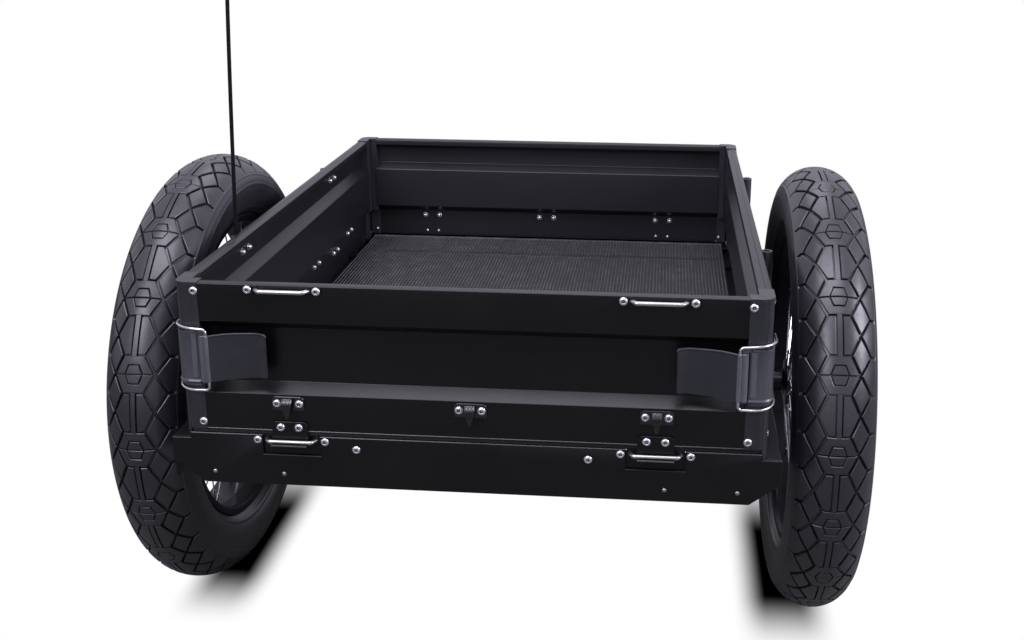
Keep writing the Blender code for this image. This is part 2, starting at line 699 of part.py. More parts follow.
def build_chassis():
    """The beams, rails, axle, floor and the fixed hinge bars."""
    for place, end in (("rear", 0), ("front", 1)):
        crossbeam(f"{place}_crossbeam", end)
        for word, side in (("left", -1), ("right", 1)):
            hinge_bar(f"{place}_{word}_hinge_bar", side * HINGE_PLACE, end)
    for word, side in (("left", -1), ("right", 1)):
        side_rail(word, side)
    edge, half = 0.006, FLOOR_HALF_WIDTH
    box("floor_mesh", (-half, edge, FLOOR_TOP - FLOOR_THICKNESS), (half, BOX_LENGTH - edge, FLOOR_TOP),
        "floor_mesh")
    box("floor_rail", (-0.319, FLOOR_RAIL_PLACE - 0.015, LEDGE_TOP + GAP),
        (0.319, FLOOR_RAIL_PLACE + 0.015, BEAM_HIGH), "black_frame")
    build_axle()


def square_tube(name, along, centre, start, end, half, wall, finish):
    """A square tube along X or Y, its centre given as the two other coordinates."""
    corners = ((-1, -1), (1, -1), (1, 1), (-1, 1))
    outlines = [[(centre[0] + reach * a, centre[1] + reach * b) for a, b in corners]
                for reach in (half, half - wall)]
    return section(name, outlines, along, start, end, finish)


def build_axle():
    """A square beam with a plug and a stub shaft welded in each end, and a drain hole."""
    half, wall = AXLE_BEAM_HALF, 0.003
    end_x = BEAM_HALF_WIDTH - BEAM_WALL - GAP
    beam = square_tube("axle_beam", "X", (WHEEL_Y, WHEEL_RADIUS), -end_x, end_x, half, wall, "black_frame")
    for word, side in (("left", -1), ("right", 1)):

        def shaft(label, start, stop, radius, sides=20):
            ends = [(side * x, WHEEL_Y, WHEEL_RADIUS) for x in (start, stop)]
            return rod(f"axle_{word}_{label}", *ends, radius, sides=sides)

        xs = sorted((side * (end_x - 0.020), side * (end_x + 0.0001)))
        fit = half - 0.001
        plug = box(f"axle_{word}_plug", (xs[0], WHEEL_Y - fit, WHEEL_RADIUS - fit),
                   (xs[1], WHEEL_Y + fit, WHEEL_RADIUS + fit))
        stub = shaft("stub", end_x - 0.010, AXLE_END, AXLE_RADIUS)
        collar = shaft("collar", BEAM_HALF_WIDTH + GAP, COLLAR_END, 0.010)
        nut = shaft("nut", NUT_START, AXLE_END - 0.001, 0.010, 6)
        combine(beam, "UNION", plug, stub, collar, nut)
    drain = rod("axle_drain", (0, WHEEL_Y, WHEEL_RADIUS - 2 * half), (0, WHEEL_Y, WHEEL_RADIUS), 0.004)
    return combine(beam, "DIFFERENCE", drain)


def tyre_profile():
    """The tyre's C-shaped wall: an ellipse open at the rim, its outer side running down."""
    middle = WHEEL_RADIUS - TYRE_HALF_HEIGHT
    outer = [math.radians(BEAD_DEGREES * (1 - i / 6)) for i in range(13)]

    def wall(angle, inset):
        radius = middle + (TYRE_HALF_HEIGHT - inset) * math.cos(angle)
        return (radius, (TYRE_HALF_WIDTH - inset) * math.sin(angle))

    inner = [-angle for angle in outer[::2]]
    return [wall(a, 0) for a in outer] + [wall(a, TYRE_WALL) for a in inner]


def rim_profile():
    """A wide single-wall rim: a bead flange each side, a flat bed and a shallow well."""
    outside = [(0.2085, 0.0338), (0.2085, 0.0312), (0.2035, 0.0300), (0.1990, 0.0110)]
    inside = [(0.1950, 0.0110), (0.1995, 0.0338)]
    return (
        outside + [(r, -h) for r, h in reversed(outside)]
        + [(r, -h) for r, h in reversed(inside)] + inside
    )


def hub_profile():
    """A hub shell with two spoke flanges and a through bore, longer on its inner side."""
    flange = [(0.0190, 0.0330), (0.0310, 0.0315), (0.0310, 0.0265), (0.0190, 0.0250)]
    body = [(0.0130, 0.0400), (0.0130, 0.0360)] + flange
    body += [(r, -h) for r, h in reversed(flange)] + [(0.0130, -0.0360), (0.0130, -0.0590)]
    return body + [(0.0065, -0.0590), (0.0065, 0.0400)]


def build_wheel(word, side):
    """A wheel on the axle's stub: tyre, rim, and a hub with crossed spokes."""
    centre = (side * TRACK_HALF, WHEEL_Y, WHEEL_RADIUS)
    carrier = new_empty(f"{word}_wheel_axis", centre, TRAILER)
    flat = 1 / math.cos(math.pi / WHEEL_STEPS)
    tyre = [(radius * flat, height) for radius, height in tyre_profile()]
    rim = [(radius * flat, height) for radius, height in rim_profile()]
    turned(f"{word}_tyre", tyre, WHEEL_STEPS, centre, side, "tyre_rubber", carrier)
    turned(f"{word}_rim", rim, WHEEL_STEPS, centre, side, "black_rim", carrier)
    hub = turned(f"{word}_hub", hub_profile(), 24, centre, side, "hub_metal", carrier)
    spokes = new_object(f"{word}_spokes", mesh_of(spoke_shapes, f"{word}_spokes"), None, carrier)
    spokes.location += Vector(centre)
    spokes.rotation_euler = (0, side * math.pi / 2, 0)
    combine(hub, "UNION", spokes)


def spoke_shapes(shape):
    """Straight spokes about Z, from inside the hub flanges to just short of the rim, leading and
    trailing ones in turn, each kind at its own distance along the axle so that none touch."""

    def place(radius, angle, height):
        return Vector((radius * math.cos(angle), radius * math.sin(angle), height))

    for hub_side in (-1, 1):
        for i in range(SPOKES_A_SIDE):
            lean = 1 if i % 2 else -1
            rim_angle = 2 * math.pi * (i + 0.5 + 0.25 * hub_side) / SPOKES_A_SIDE
            height = SPOKE_HEIGHT + lean * SPOKE_SPREAD
            start = place(SPOKE_HUB_RADIUS, rim_angle + lean * SPOKE_LEAD, hub_side * height)
            stop = place(SPOKE_RIM_RADIUS, rim_angle, hub_side * (height - SPOKE_DISH))
            turn = (stop - start).to_track_quat("Z", "Y").to_matrix().to_4x4()
            bmesh.ops.create_cone(
                shape, cap_ends=True, segments=5, radius1=SPOKE_RADIUS, radius2=SPOKE_RADIUS,
                depth=(stop - start).length, matrix=Matrix.Translation((start + stop) / 2) @ turn,
            )


def build_drawbar():
    """The receiver under the chassis, the drawbar locked in it by a pull pin, and the hitch."""
    high = DRAWBAR_Z + RECEIVER_HALF
    receiver = square_tube("drawbar_receiver", "Y", (0, DRAWBAR_Z), 0.300, 0.870, RECEIVER_HALF,
                           RECEIVER_HALF - RECEIVER_BORE_HALF, "black_frame")
    shim = box("receiver_shim", (-0.030, 0.805, high - 0.001), (0.030, BOX_LENGTH, BEAM_LOW - GAP))
    combine(receiver, "UNION", shim)
    x, y, z = LOCK_PIN
    hole = rod("lock_pin_hole", (-0.03, y, z), (0.03, y, z), LOCK_PIN_RADIUS + GAP)
    combine(receiver, "DIFFERENCE", hole)
    hitch_x, hitch_y, hitch_z = HITCH
    corners = [(0, 0.450, z), (0, 0.940, z), (hitch_x, 1.130, 0.275), (hitch_x, hitch_y - 0.008, hitch_z)]
    drawbar = wire("drawbar", bent(corners, [0.09, 0.09], 6), DRAWBAR_RADIUS, "black_frame", None, 4)
    barrel = rod("drawbar_barrel", (hitch_x, hitch_y, hitch_z - 0.019),
                 (hitch_x, hitch_y, hitch_z + 0.019), 0.0145)
    barrel_bore = rod("drawbar_bore", (hitch_x, hitch_y, hitch_z - 0.03),
                      (hitch_x, hitch_y, hitch_z + 0.03), YAW_PIN_RADIUS + 0.0005)
    combine(drawbar, "UNION", barrel)
    combine(drawbar, "DIFFERENCE", barrel_bore, hole)
    lock_pin()
    swivel_axis = hitch_swivel()
    hitch_coupler(swivel_axis)


def lock_pin():
    """The pull pin through receiver and drawbar, with a collar and a cross handle on the left."""
    x, y, z = LOCK_PIN
    axis = new_empty("lock_pin_axis", LOCK_PIN, TRAILER)
    collar_start = -RECEIVER_HALF - GAP
    handle_x, handle_half = -0.030, 0.018
    pin = rod("lock_pin", (0.026, y, z), (handle_x, y, z), LOCK_PIN_RADIUS, "steel", axis)
    collar = rod("lock_pin_collar", (collar_start, y, z), (collar_start - 0.0042, y, z), 0.0075, None, axis)
    handle = rod("lock_pin_handle", (handle_x, y, z - handle_half), (handle_x, y, z + handle_half),
                 0.0042, None, axis)
    return combine(pin, "UNION", collar, handle)


def hitch_swivel():
    """A fork that yaws on the drawbar's barrel, with a cross knuckle ahead of it."""
    x, y, z = HITCH
    near, far, half = 0.0193, 0.0233, 0.012
    axis = new_empty("hitch_swivel_axis", HITCH, TRAILER)
    ear = arc((x, y), 0.014, 180, 360, 8) + [(x + half + 0.001, y + 0.036), (x - half - 0.001, y + 0.036)]
    swivel = section("hitch_swivel", [ear], "Z", z + near, z + far, "steel", axis)
    lower = section("swivel_lower_ear", [ear], "Z", z - far, z - near, None, axis)
    reach = far - 0.001
    web = box("swivel_web", (x - half, y + 0.030, z - reach), (x + half, y + 0.0425, z + reach), None, axis)
    yaw_pin = rod("swivel_pin", (x, y, z - reach), (x, y, z + reach), YAW_PIN_RADIUS, None, axis)
    across = half + 0.0002
    knuckle = rod("swivel_knuckle", (x - across, PITCH_Y, z), (x + across, PITCH_Y, z), 0.011, None, axis)
    bore = rod("swivel_knuckle_bore", (x - 0.02, PITCH_Y, z), (x + 0.02, PITCH_Y, z),
               PITCH_PIN_RADIUS + 0.0005, None, axis)
    combine(swivel, "UNION", web, lower, yaw_pin, knuckle)
    combine(swivel, "DIFFERENCE", bore)
    return axis


def hitch_coupler(swivel_axis):
    """Two cheeks that pitch on the swivel's knuckle; the right one runs on to a round-ended plate
    that goes on the towing axle."""
    x, y, z = HITCH[0], PITCH_Y, HITCH[2]
    inner, outer, cheek = 0.0125, 0.0165, 0.013
    axis = new_empty("hitch_coupler_axis", (x, y, z), swivel_axis)
    eye_y = COUPLER_END - COUPLER_EYE
    heel = arc((y, z), cheek, 90, 270, 8)
    plate = (
        heel + [(y + 0.020, z - cheek), (y + 0.034, z - COUPLER_EYE)]
        + arc((eye_y, z), COUPLER_EYE, -90, 90, 8) + [(y + 0.034, z + COUPLER_EYE), (y + 0.020, z + cheek)]
    )
    coupler = section("hitch_coupler", [plate], "X", x + inner, x + outer, "steel", axis)
    left = heel + [(y + 0.028, z - cheek), (y + 0.028, z + cheek)]
    left = section("coupler_left_cheek", [left], "X", x - outer, x - inner, None, axis)
    trim = 0.0002
    block = box("coupler_block", (x - outer + trim, y + 0.016, z - cheek + trim),
                (x + outer - trim, y + 0.0275, z + cheek - trim), None, axis)
    pin_start, pin_stop = (x - outer + trim, y, z), (x + outer - trim, y, z)
    pin = rod("coupler_pin", pin_start, pin_stop, PITCH_PIN_RADIUS, None, axis)
    hole = rod("coupler_axle_hole", (x, eye_y, z), (x + 0.03, eye_y, z), COUPLER_BORE, None, axis)
    combine(coupler, "UNION", block, left, pin)
    return combine(coupler, "DIFFERENCE", hole)


def build_leg():
    """The parking leg: a raked tube on a pivot under the front crossbeam, which folds back and
    up under the floor, with a rubber foot."""
    x, y, z = LEG_PIVOT
    half, wall, under = 0.022, 0.003, BEAM_LOW - GAP
    bracket = box("leg_bracket", (x - half, y - 0.023, under - wall), (x + half, y + 0.0245, under),
                  "black_frame")
    for word, side in (("left", -1), ("right", 1)):
        xs = sorted((x + side * (half - 0.0002), x + side * (half - wall)))
        cheek = box(f"leg_bracket_{word}_cheek", (xs[0], y - 0.015, z - 0.014),
                    (xs[1], y + 0.015, under - 0.001))
        combine(bracket, "UNION", cheek)
    reach = half - 0.0005
    combine(bracket, "UNION", rod("leg_pivot_pin", (x - reach, y, z), (x + reach, y, z), 0.004))
    axis = new_empty("parking_leg_axis", LEG_PIVOT, TRAILER)
    foot_y = y + LEG_RAKE
    leg = rod("parking_leg", LEG_PIVOT, (x, foot_y, 0.018), LEG_RADIUS, "black_frame", axis)
    barrel = rod("leg_barrel", (x - 0.0155, y, z), (x + 0.0155, y, z), 0.0138, None, axis)
    bore = rod("leg_bore", (x - 0.03, y, z), (x + 0.03, y, z), 0.0045, None, axis)
    combine(leg, "UNION", barrel)
    combine(leg, "DIFFERENCE", bore)
    rod("leg_foot", (x, foot_y, 0), (x, foot_y, 0.0155), 0.019, "black_plastic", axis)


def pole_x(z):
    """The pole bends a little towards the trailer's middle above its socket."""
    rise = max(z - RIM_TOP, 0)
    return -SOCKET_X + 0.026 * rise + 0.030 * rise * rise


def build_flag():
    """The whip pole, which lifts out of the left rear socket, and its pennant."""
    y = BOX_LENGTH / 2 + SOCKET_PLACES[0]
    foot = SOCKET_LOW + 0.005 + GAP
    axis = new_empty("flag_pole_axis", (-SOCKET_X, y, foot), TRAILER)
    heights = [foot] + [RIM_TOP + (POLE_TOP - RIM_TOP) * i / 12 for i in range(13)]
    wire("flag_pole", [(pole_x(z), y, z) for z in heights], POLE_RADIUS, "black_plastic", axis)
    columns, rows = 18, 6
    mesh = mesh_of(lambda shape: bmesh.ops.create_grid(
        shape, x_segments=columns, y_segments=rows, size=0.5), "flag")
    for vert in mesh.vertices:
        vert.co = flag_point(vert.co.x + 0.5, 0.5 - vert.co.y, y)
    flag = new_object("flag", mesh, "flag_cloth", axis)
    skin = flag.modifiers.new("skin", "SOLIDIFY")
    skin.thickness = 0.003
    skin.offset = 0


def flag_point(s, t, y):
    """The pennant at s along the fly and t down the hoist: it tapers, sags by its own weight and
    waves sideways more and more towards its point."""
    half = FLAG_HOIST / 2 * (1 - 0.93 * s)
    z = FLAG_MIDDLE + (1 - 2 * t) * half - FLAG_SAG * s ** 1.4
    wave = FLAG_WAVE * s * math.sin(2 * math.pi * 1.25 * s + 0.6 * t)
    return (pole_x(FLAG_MIDDLE) + wave, y - POLE_RADIUS - 0.002 - FLAG_FLY * s, z)


def main():
    build_chassis()
    build_sides()
    build_gate("tailgate", 0)
    build_gate("front_gate", 1)
    build_wheel("left", -1)
    build_wheel("right", 1)
    build_drawbar()
    build_leg()
    build_flag()


clear_scene()
PARTS = new_collection("bicycle_trailer")
HELPERS = new_collection("cutters_and_joiners")
TRAILER = new_empty("trailer", (0, -ORIGIN_Y, 0))
main()
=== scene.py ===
"""Looks for a two-wheeled cargo trailer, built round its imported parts.

Metres. Shapes are worked out in the trailer's own terms, X across, Y forwards from the tailgate's
outer face and Z up from the ground, and move to the frame's origin as they become pieces.
"""

import json
import math

import bmesh
import bpy
import numpy as np
from bpy.props import FloatProperty, FloatVectorProperty, IntProperty, PointerProperty
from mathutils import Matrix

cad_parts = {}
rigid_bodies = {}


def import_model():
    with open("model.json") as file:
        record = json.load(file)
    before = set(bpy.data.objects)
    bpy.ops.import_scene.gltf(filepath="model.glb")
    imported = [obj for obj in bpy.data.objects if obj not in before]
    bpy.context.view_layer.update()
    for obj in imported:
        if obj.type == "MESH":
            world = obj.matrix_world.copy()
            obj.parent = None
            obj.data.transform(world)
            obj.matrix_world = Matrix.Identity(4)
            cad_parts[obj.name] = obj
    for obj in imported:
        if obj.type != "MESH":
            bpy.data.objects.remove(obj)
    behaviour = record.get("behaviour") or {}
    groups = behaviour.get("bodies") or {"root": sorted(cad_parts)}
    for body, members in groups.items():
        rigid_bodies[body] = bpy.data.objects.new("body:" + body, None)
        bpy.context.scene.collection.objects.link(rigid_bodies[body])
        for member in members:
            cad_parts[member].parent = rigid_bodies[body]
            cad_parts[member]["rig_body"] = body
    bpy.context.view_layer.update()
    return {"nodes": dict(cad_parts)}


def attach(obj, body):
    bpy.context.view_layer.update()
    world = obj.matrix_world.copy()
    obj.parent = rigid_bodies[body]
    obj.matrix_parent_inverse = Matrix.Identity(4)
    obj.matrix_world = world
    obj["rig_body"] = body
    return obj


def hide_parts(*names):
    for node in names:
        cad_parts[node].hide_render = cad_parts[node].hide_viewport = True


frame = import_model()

bl_info = {
    "name": "Cargo Trailer Finish",
    "version": (1, 0, 0),
    "blender": (4, 5, 0),
    "location": "3D View > Sidebar > Trailer",
    "description": "Builds a cargo trailer's tyres, panels, latches and fittings",
    "category": "Object",
}

ENDS = (("tailgate", "rear", 0), ("front_gate", "front", 1))
SIDES = (("left", -1), ("right", 1))
CORNERS = [(*end, *side) for end in ENDS for side in SIDES]

# Cargo box and chassis
ORIGIN_Y = 0.75925
BOX_LENGTH, BOX_HALF_WIDTH = 0.835, 0.3225
MIDDLE_Y = BOX_LENGTH / 2
RIM_TOP, RIM_LOW, RIM_DEPTH = 0.514, 0.504, 0.015
BAND_LOW, RECESS_HIGH, SHELF_HIGH, SHELF_LOW = 0.4705, 0.4605, 0.3972, 0.3871
RECESS_DEPTH, SHEET, GAP = 0.0145, 0.002, 0.0003
GATE_LOW, LEDGE_TOP, BEAM_HIGH, BEAM_STEP = 0.343, 0.331, 0.338, 0.318
FLOOR_TOP, FLOOR_LOW, FLOOR_STRIP = 0.340, 0.3383, 0.7290
FLOOR_HALF_WIDTH, FLOOR_EDGE, FLOOR_BORDER = 0.3065, 0.006, 0.008
ROLL_RADIUS, ROLL_RISE = 0.0011, 0.0008

# Corner posts, measured in from the box's side face (u) and from its end face (v)
POST_WIDTH, POST_DEPTH, POST_FOOT_DEPTH, POST_PROUD = 0.0255, 0.015, 0.008, 0.0005
SIDE_POST_LENGTH, PANEL_TUCK = 0.036, 0.0004
CORNER_CENTRE, CORNER_RADIUS = 0.012, 0.0125
MITRE_DEGREES, MITRE_GAP_DEGREES, MITRE_SLOPE = 27.6, 1.9, 0.675
CAP_HEIGHT, CAP_LIP = 0.004, 0.0006

# Latches
LATCH_LOW, LATCH_HIGH = 0.402, 0.456
LATCH_HINGE, LATCH_BARREL = (0.0294, -0.0048), 0.0045
LATCH_EYE, EYE_RADIUS = (0.0345, -0.0078), 0.0028
LEVER_CORNER, LEVER_SHEET = 0.0024, 0.0022
WRAP_OUTER, WRAP_INNER, WRAP_REACH, WRAP_END = 0.0153, 0.0133, 0.026, 0.0235
EAR_WALL, FOOT_EAR, EAR_RADIUS, PIN_RADIUS = 0.0022, 0.0017, 0.0033, 0.0015
BAIL_STANDOFF, BAIL_REACH = 0.0056, 0.049
KEEPER_PROUD, KEEPER_REACH, KEEPER_START = 0.0041, 0.0455, 0.0300

# Hinges, bars and hooks
HINGE_PLACE, HINGE_OFFSET, HINGE_HEIGHT, HINGE_PLATE_TOP = 0.2025, 0.0063, 0.333, 0.3555
CURL_RADIUS, HINGE_HALF = 0.005, 0.02025
BAR_STRAIGHT, BAR_FEET = 0.0243, 0.0290
UPPER_BAR_Z, UPPER_BAR_STANDOFF = 0.5085, 0.0085
HOOK_PLACE, HOOK_LOW, HOOK_HIGH, HOOK_HALF, SIDE_HOOK_LIFT = 0.203, 0.3695, 0.3855, 0.018, 0.001
SIDE_HOOKS = np.array((-0.2875, -0.0935, 0.0935, 0.2875))

# Bolts: their heights, their spread either side of a centre, and how far their seats stand out
POST_BOLTS, POST_BOLT_HEIGHTS = (-0.301, 0.301), (0.505, 0.352)
HINGE_BOLT_Z, HINGE_SPREAD = 0.349, 0.0101
HOOK_BOLT_Z, HOOK_SPREAD = 0.3775, 0.0125
PLATE_PROUD, STRAP_PROUD, PAD_PROUD = 0.0023, 0.0025, 0.0024
NUT_RADIUS, SMALL_NUT_RADIUS, BOLT_TURN = 0.0038, 0.0019, 0.3

# Wheels
WHEEL_RADIUS, WHEEL_Y, TRACK_HALF = 0.290, 0.330, 0.4045
TYRE_HALF_WIDTH, TYRE_HALF_HEIGHT = 0.0481, 0.0458
TYRE_MIDDLE = WHEEL_RADIUS - TYRE_HALF_HEIGHT
TREAD_PITCHES = 20
TREAD_PITCH = 2 * math.pi * WHEEL_RADIUS / TREAD_PITCHES
FLANGE_HOLES, RIM_HOLES, FLANGE_HEIGHT = 0.0285, 0.1945, 0.0290

# Sockets, pole and pennant
SOCKET_X, SOCKET_LOW, SOCKET_HIGH = 0.3305, 0.345, 0.505
SOCKET_PLACES = MIDDLE_Y + np.array((-0.200, 0.200))
STRAP_HEIGHTS, STRAP_HALF, STRAP_SPREAD = (0.488, 0.369), 0.018, 0.0118
POLE_TOP, POLE_RADIUS = 1.497, 0.0024
FLAG_MIDDLE, FLAG_HOIST, FLAG_FLY, FLAG_TAPER = 1.360, 0.200, 0.219, 0.93

LEAN = np.array((0.31, 0.47, 0.83))


def paint(name, description, default):
    """A colour that a user may change."""
    return FloatVectorProperty(name=name, description=description, default=default, subtype="COLOR",
                               min=0, max=1)


def measure(name, description, default, low, high):
    """A length that a user may change between two limits."""
    return FloatProperty(name=name, description=description, default=default, unit="LENGTH",
                         min=low, max=high)


def power(name, place, default):
    """The power of the softbox at a place."""
    return FloatProperty(name=name, description=f"Power of the softbox {place}", default=default,
                         unit="POWER", min=0, max=500)


class SheetSettings(bpy.types.PropertyGroup):
    """Painted sheet metal."""

    panel: paint("Panels", "Coat of the box's panels", (0.0042, 0.0041, 0.0046))
    frame: paint("Frame", "Coat of the chassis", (0.0040, 0.0039, 0.0044))
    post: paint("Posts", "Satin coat of the corner posts", (0.040, 0.041, 0.048))
    lever: paint("Levers", "Coat of the latch levers", (0.030, 0.031, 0.038))
    bend: measure("Bend", "Outer radius of the folds", 0.0012, 0.0003, 0.002)
    edge: measure("Edge", "Rounding of cut edges", 0.0004, 0.0001, 0.001)


class MetalSettings(bpy.types.PropertyGroup):
    """Bare and plated metal."""

    zinc: paint("Zinc", "Bright zinc of the bails and bolts", (0.66, 0.66, 0.68))
    nickel: paint("Nickel", "Brushed plating of the bars", (0.50, 0.48, 0.46))
    bail_radius: measure("Bail Wire", "Radius of the bails' wire", 0.0016, 0.001, 0.002)
    bar_radius: measure("Bars", "Radius of the round bars", 0.0024, 0.0015, 0.003)
    bolt_radius: measure("Bolt Heads", "Radius of the button heads", 0.0046, 0.003, 0.005)


class WheelSettings(bpy.types.PropertyGroup):
    """Tyres, rims and spokes."""

    rubber: paint("Rubber", "Colour of the tyres", (0.022, 0.0216, 0.0263))
    rim: paint("Rim", "Paint of rims and hubs", (0.012, 0.012, 0.016))
    groove_depth: measure("Groove Depth", "Depth of the tread's grooves", 0.0042, 0.001, 0.0045)
    groove: measure("Groove", "Width of the tread's main grooves", 0.0034, 0.001, 0.005)
    sipe: measure("Sipe", "Width of the tread's fine cuts", 0.0011, 0.0004, 0.002)
    spokes: IntProperty(name="Spokes a Side", description="Spokes at each hub flange", default=18,
                        min=8, max=24)


class FloorSettings(bpy.types.PropertyGroup):
    """The floor's welded grid."""

    coat: paint("Grid", "Coat of the floor's grid", (0.085, 0.085, 0.090))
    pitch: measure("Pitch", "Distance between the grid's strands", 0.0051, 0.004, 0.02)
    strand: measure("Strand", "Width of a strand", 0.0018, 0.001, 0.003)


class FlagSettings(bpy.types.PropertyGroup):
    """The pennant on the pole."""

    cloth: paint("Cloth", "Colour of the pennant", (0.80, 0.13, 0.015))
    hem: measure("Hem", "Width of the turned hem", 0.007, 0.003, 0.015)


class StageSettings(bpy.types.PropertyGroup):
    """Lamps and background."""

    above: power("Above", "over the tailgate", 54)
    left: power("Left", "at the left rear", 27)
    right: power("Right", "at the right side", 48)
    ahead: power("Ahead", "over the front", 15)
    ambient: FloatProperty(name="Ambient", description="Strength of the room's light", default=0.06,
                           min=0, max=1)


def mm(table):
    """A table of millimetres in metres."""
    return np.array(table, float) / 1000


def unit(vectors):
    """Vectors scaled to length one along their last axis."""
    vectors = np.asarray(vectors, float)
    return vectors / np.linalg.norm(vectors, axis=-1, keepdims=True)


def travelled(path):
    """The distance along a path at each of its points."""
    return np.concatenate([[0], np.cumsum(np.linalg.norm(np.diff(path, axis=0), axis=1))])


def square_to(axis):
    """Two unit vectors that stand square to an axis and to each other."""
    axis = unit(axis)
    first = unit(np.cross(axis, (0, 0, 1) if abs(axis[2]) < 0.9 else (1, 0, 0)))
    return first, np.cross(axis, first)


def angles(count):
    """Angles evenly round a full turn."""
    return 2 * math.pi * np.arange(count) / count


def joined(shapes):
    """Several shapes, each (points, faces), as one."""
    starts = np.cumsum([0] + [len(points) for points, _ in shapes])
    faces = [block + start for start, (_, blocks) in zip(starts, shapes) for block in blocks]
    return np.concatenate([points for points, _ in shapes]), faces


def grid_quads(rows, columns, rows_wrap=False, columns_wrap=True):
    """The quads of a grid whose rows or columns may wrap round."""
    row = np.arange(rows if rows_wrap else rows - 1)[:, None]
    column = np.arange(columns if columns_wrap else columns - 1)[None, :]
    below, right = (row + 1) % rows, (column + 1) % columns
    corners = (row * columns + column, row * columns + right,
               below * columns + right, below * columns + column)
    return np.stack(np.broadcast_arrays(*corners), -1).reshape(-1, 4)


def repeated(faces, count, size):
    """The faces of one shape for count shapes of size points each."""
    shift = np.arange(count)[:, None, None] * size
    return [(block[None] + shift).reshape(-1, block.shape[1]) for block in faces]


def capped(grid):
    """A closed rod: rows of points along it, columns wrapping round it and a flat face at each
    end. A leading axis holds any number of rods alike."""
    grid = grid.reshape(-1, *grid.shape[-3:])
    count, rows, columns = grid.shape[:3]
    start = np.arange(columns)[None, ::-1]
    faces = [grid_quads(rows, columns), start, start[:, ::-1] + (rows - 1) * columns]
    return grid.reshape(-1, 3), repeated(faces, count, rows * columns)


def hoop(grid):
    """A closed ring: both the rows and the columns wrap round."""
    return grid.reshape(-1, 3), [grid_quads(*grid.shape[:2], rows_wrap=True)]


def stamped(shape, places, facing, turn=0.0):
    """Copies of a shape made about +Z, at each place, with +Z turned to the way they face."""
    points, faces = shape
    first, second = square_to(facing)
    c, s = math.cos(turn), math.sin(turn)
    axes = np.stack([c * first + s * second, c * second - s * first, unit(facing)])
    places = np.asarray(places, float).reshape(-1, 1, 3)
    return (places + points @ axes).reshape(-1, 3), repeated(faces, len(places), len(points))


def rounded(corners, radius, steps=4, closed=True):
    """An outline or path with each corner turned through an arc: the arc's points are its centre
    plus a slerp between its two ends. Radii shrink where two arcs wouldn't fit on an edge."""
    corners = np.asarray(corners, float)
    back = np.roll(corners, 1, 0) - corners
    onwards = np.roll(corners, -1, 0) - corners
    distance = np.linalg.norm(onwards, axis=1)
    back, onwards = unit(back), unit(onwards)
    half = np.arccos(np.clip((back * onwards).sum(1), -1, 1)) / 2
    half = np.minimum(half, math.pi / 2 - 0.001)
    taken = np.broadcast_to(radius, half.shape) / np.tan(half) + 1e-9
    fit = np.minimum(1, 0.97 * distance / (taken + np.roll(taken, -1)))
    half = half[:, None]
    reach = (taken * np.minimum(fit, np.roll(fit, 1)))[:, None]
    centre = corners + unit(back + onwards + 1e-12) * reach / np.cos(half)
    start, stop = corners + back * reach - centre, corners + onwards * reach - centre
    turn = (math.pi - 2 * half)[:, None]
    t = np.linspace(0, 1, steps + 1)[None, :, None]
    slerp = np.sin((1 - t) * turn) * start[:, None] + np.sin(t * turn) * stop[:, None]
    arcs = centre[:, None] + slerp / np.sin(turn)
    if closed:
        return arcs.reshape(-1, corners.shape[1])
    inner = arcs[1:-1].reshape(-1, corners.shape[1])
    return np.concatenate([corners[:1], inner, corners[-1:]])


def rectangle(low, high, radius, steps=4):
    """A rounded rectangle between two opposite corners."""
    return rounded([low, (high[0], low[1]), high, (low[0], high[1])], radius, steps)


def arc(centre, radius, first, last, steps):
    """Points from the first angle to the last, in degrees anticlockwise from the first axis."""
    angle = np.radians(np.linspace(first, last, steps + 1))
    return np.array(centre) + radius * np.stack([np.cos(angle), np.sin(angle)], 1)


def corner_inset(reach, radius):
    """How far a corner of a radius stands in from its edge, at a reach from the end."""
    into = 1 - np.minimum(reach, radius) / radius
    return radius * (1 - np.sqrt(np.clip(1 - into ** 2, 0, 1)))


def prism(outline, along, start, end):
    """A flat outline carried straight along an axis. Its points are (y, z) along X, (x, z) along
    Y and (x, y) along Z."""
    rows = [np.insert(outline, "XYZ".index(along), place, axis=1) for place in (start, end)]
    return capped(np.stack(rows))


def tube(path, radius, sides=12, domed=True):
    """A round rod: point(i, a) = path(i) + radius(i) (cos a p + sin a q), with p and q square to
    the path. Domed ends close over a quarter turn."""
    path = np.asarray(path, float)
    radius = np.broadcast_to(radius, len(path))
    if domed:
        angle = np.radians((75, 50, 25))
        ahead, behind = unit(path[0] - path[1]), unit(path[-1] - path[-2])
        start = path[0] + np.sin(angle)[:, None] * radius[0] * ahead
        stop = path[-1] + np.sin(angle[::-1])[:, None] * radius[-1] * behind
        path = np.concatenate([start, path, stop])
        ends = np.cos(angle)
        radius = np.concatenate([ends * radius[0], radius, ends[::-1] * radius[-1]])
    along = unit(np.gradient(path, axis=0))
    p = unit(np.cross(along, LEAN))[:, None]
    q = np.cross(along[:, None], p)
    a = angles(sides)[:, None]
    return capped(path[:, None] + radius[:, None, None] * (np.cos(a) * p + np.sin(a) * q))


def rod(start, end, radius, sides=24, chamfer=0.0004):
    """A straight rod with a small chamfer at both ends."""
    start, end = np.asarray(start, float), np.asarray(end, float)
    step = unit(end - start) * chamfer
    path = np.stack([start, start + step, end - step, end])
    return tube(path, radius - chamfer * np.array((1, 0, 0, 1)), sides, False)


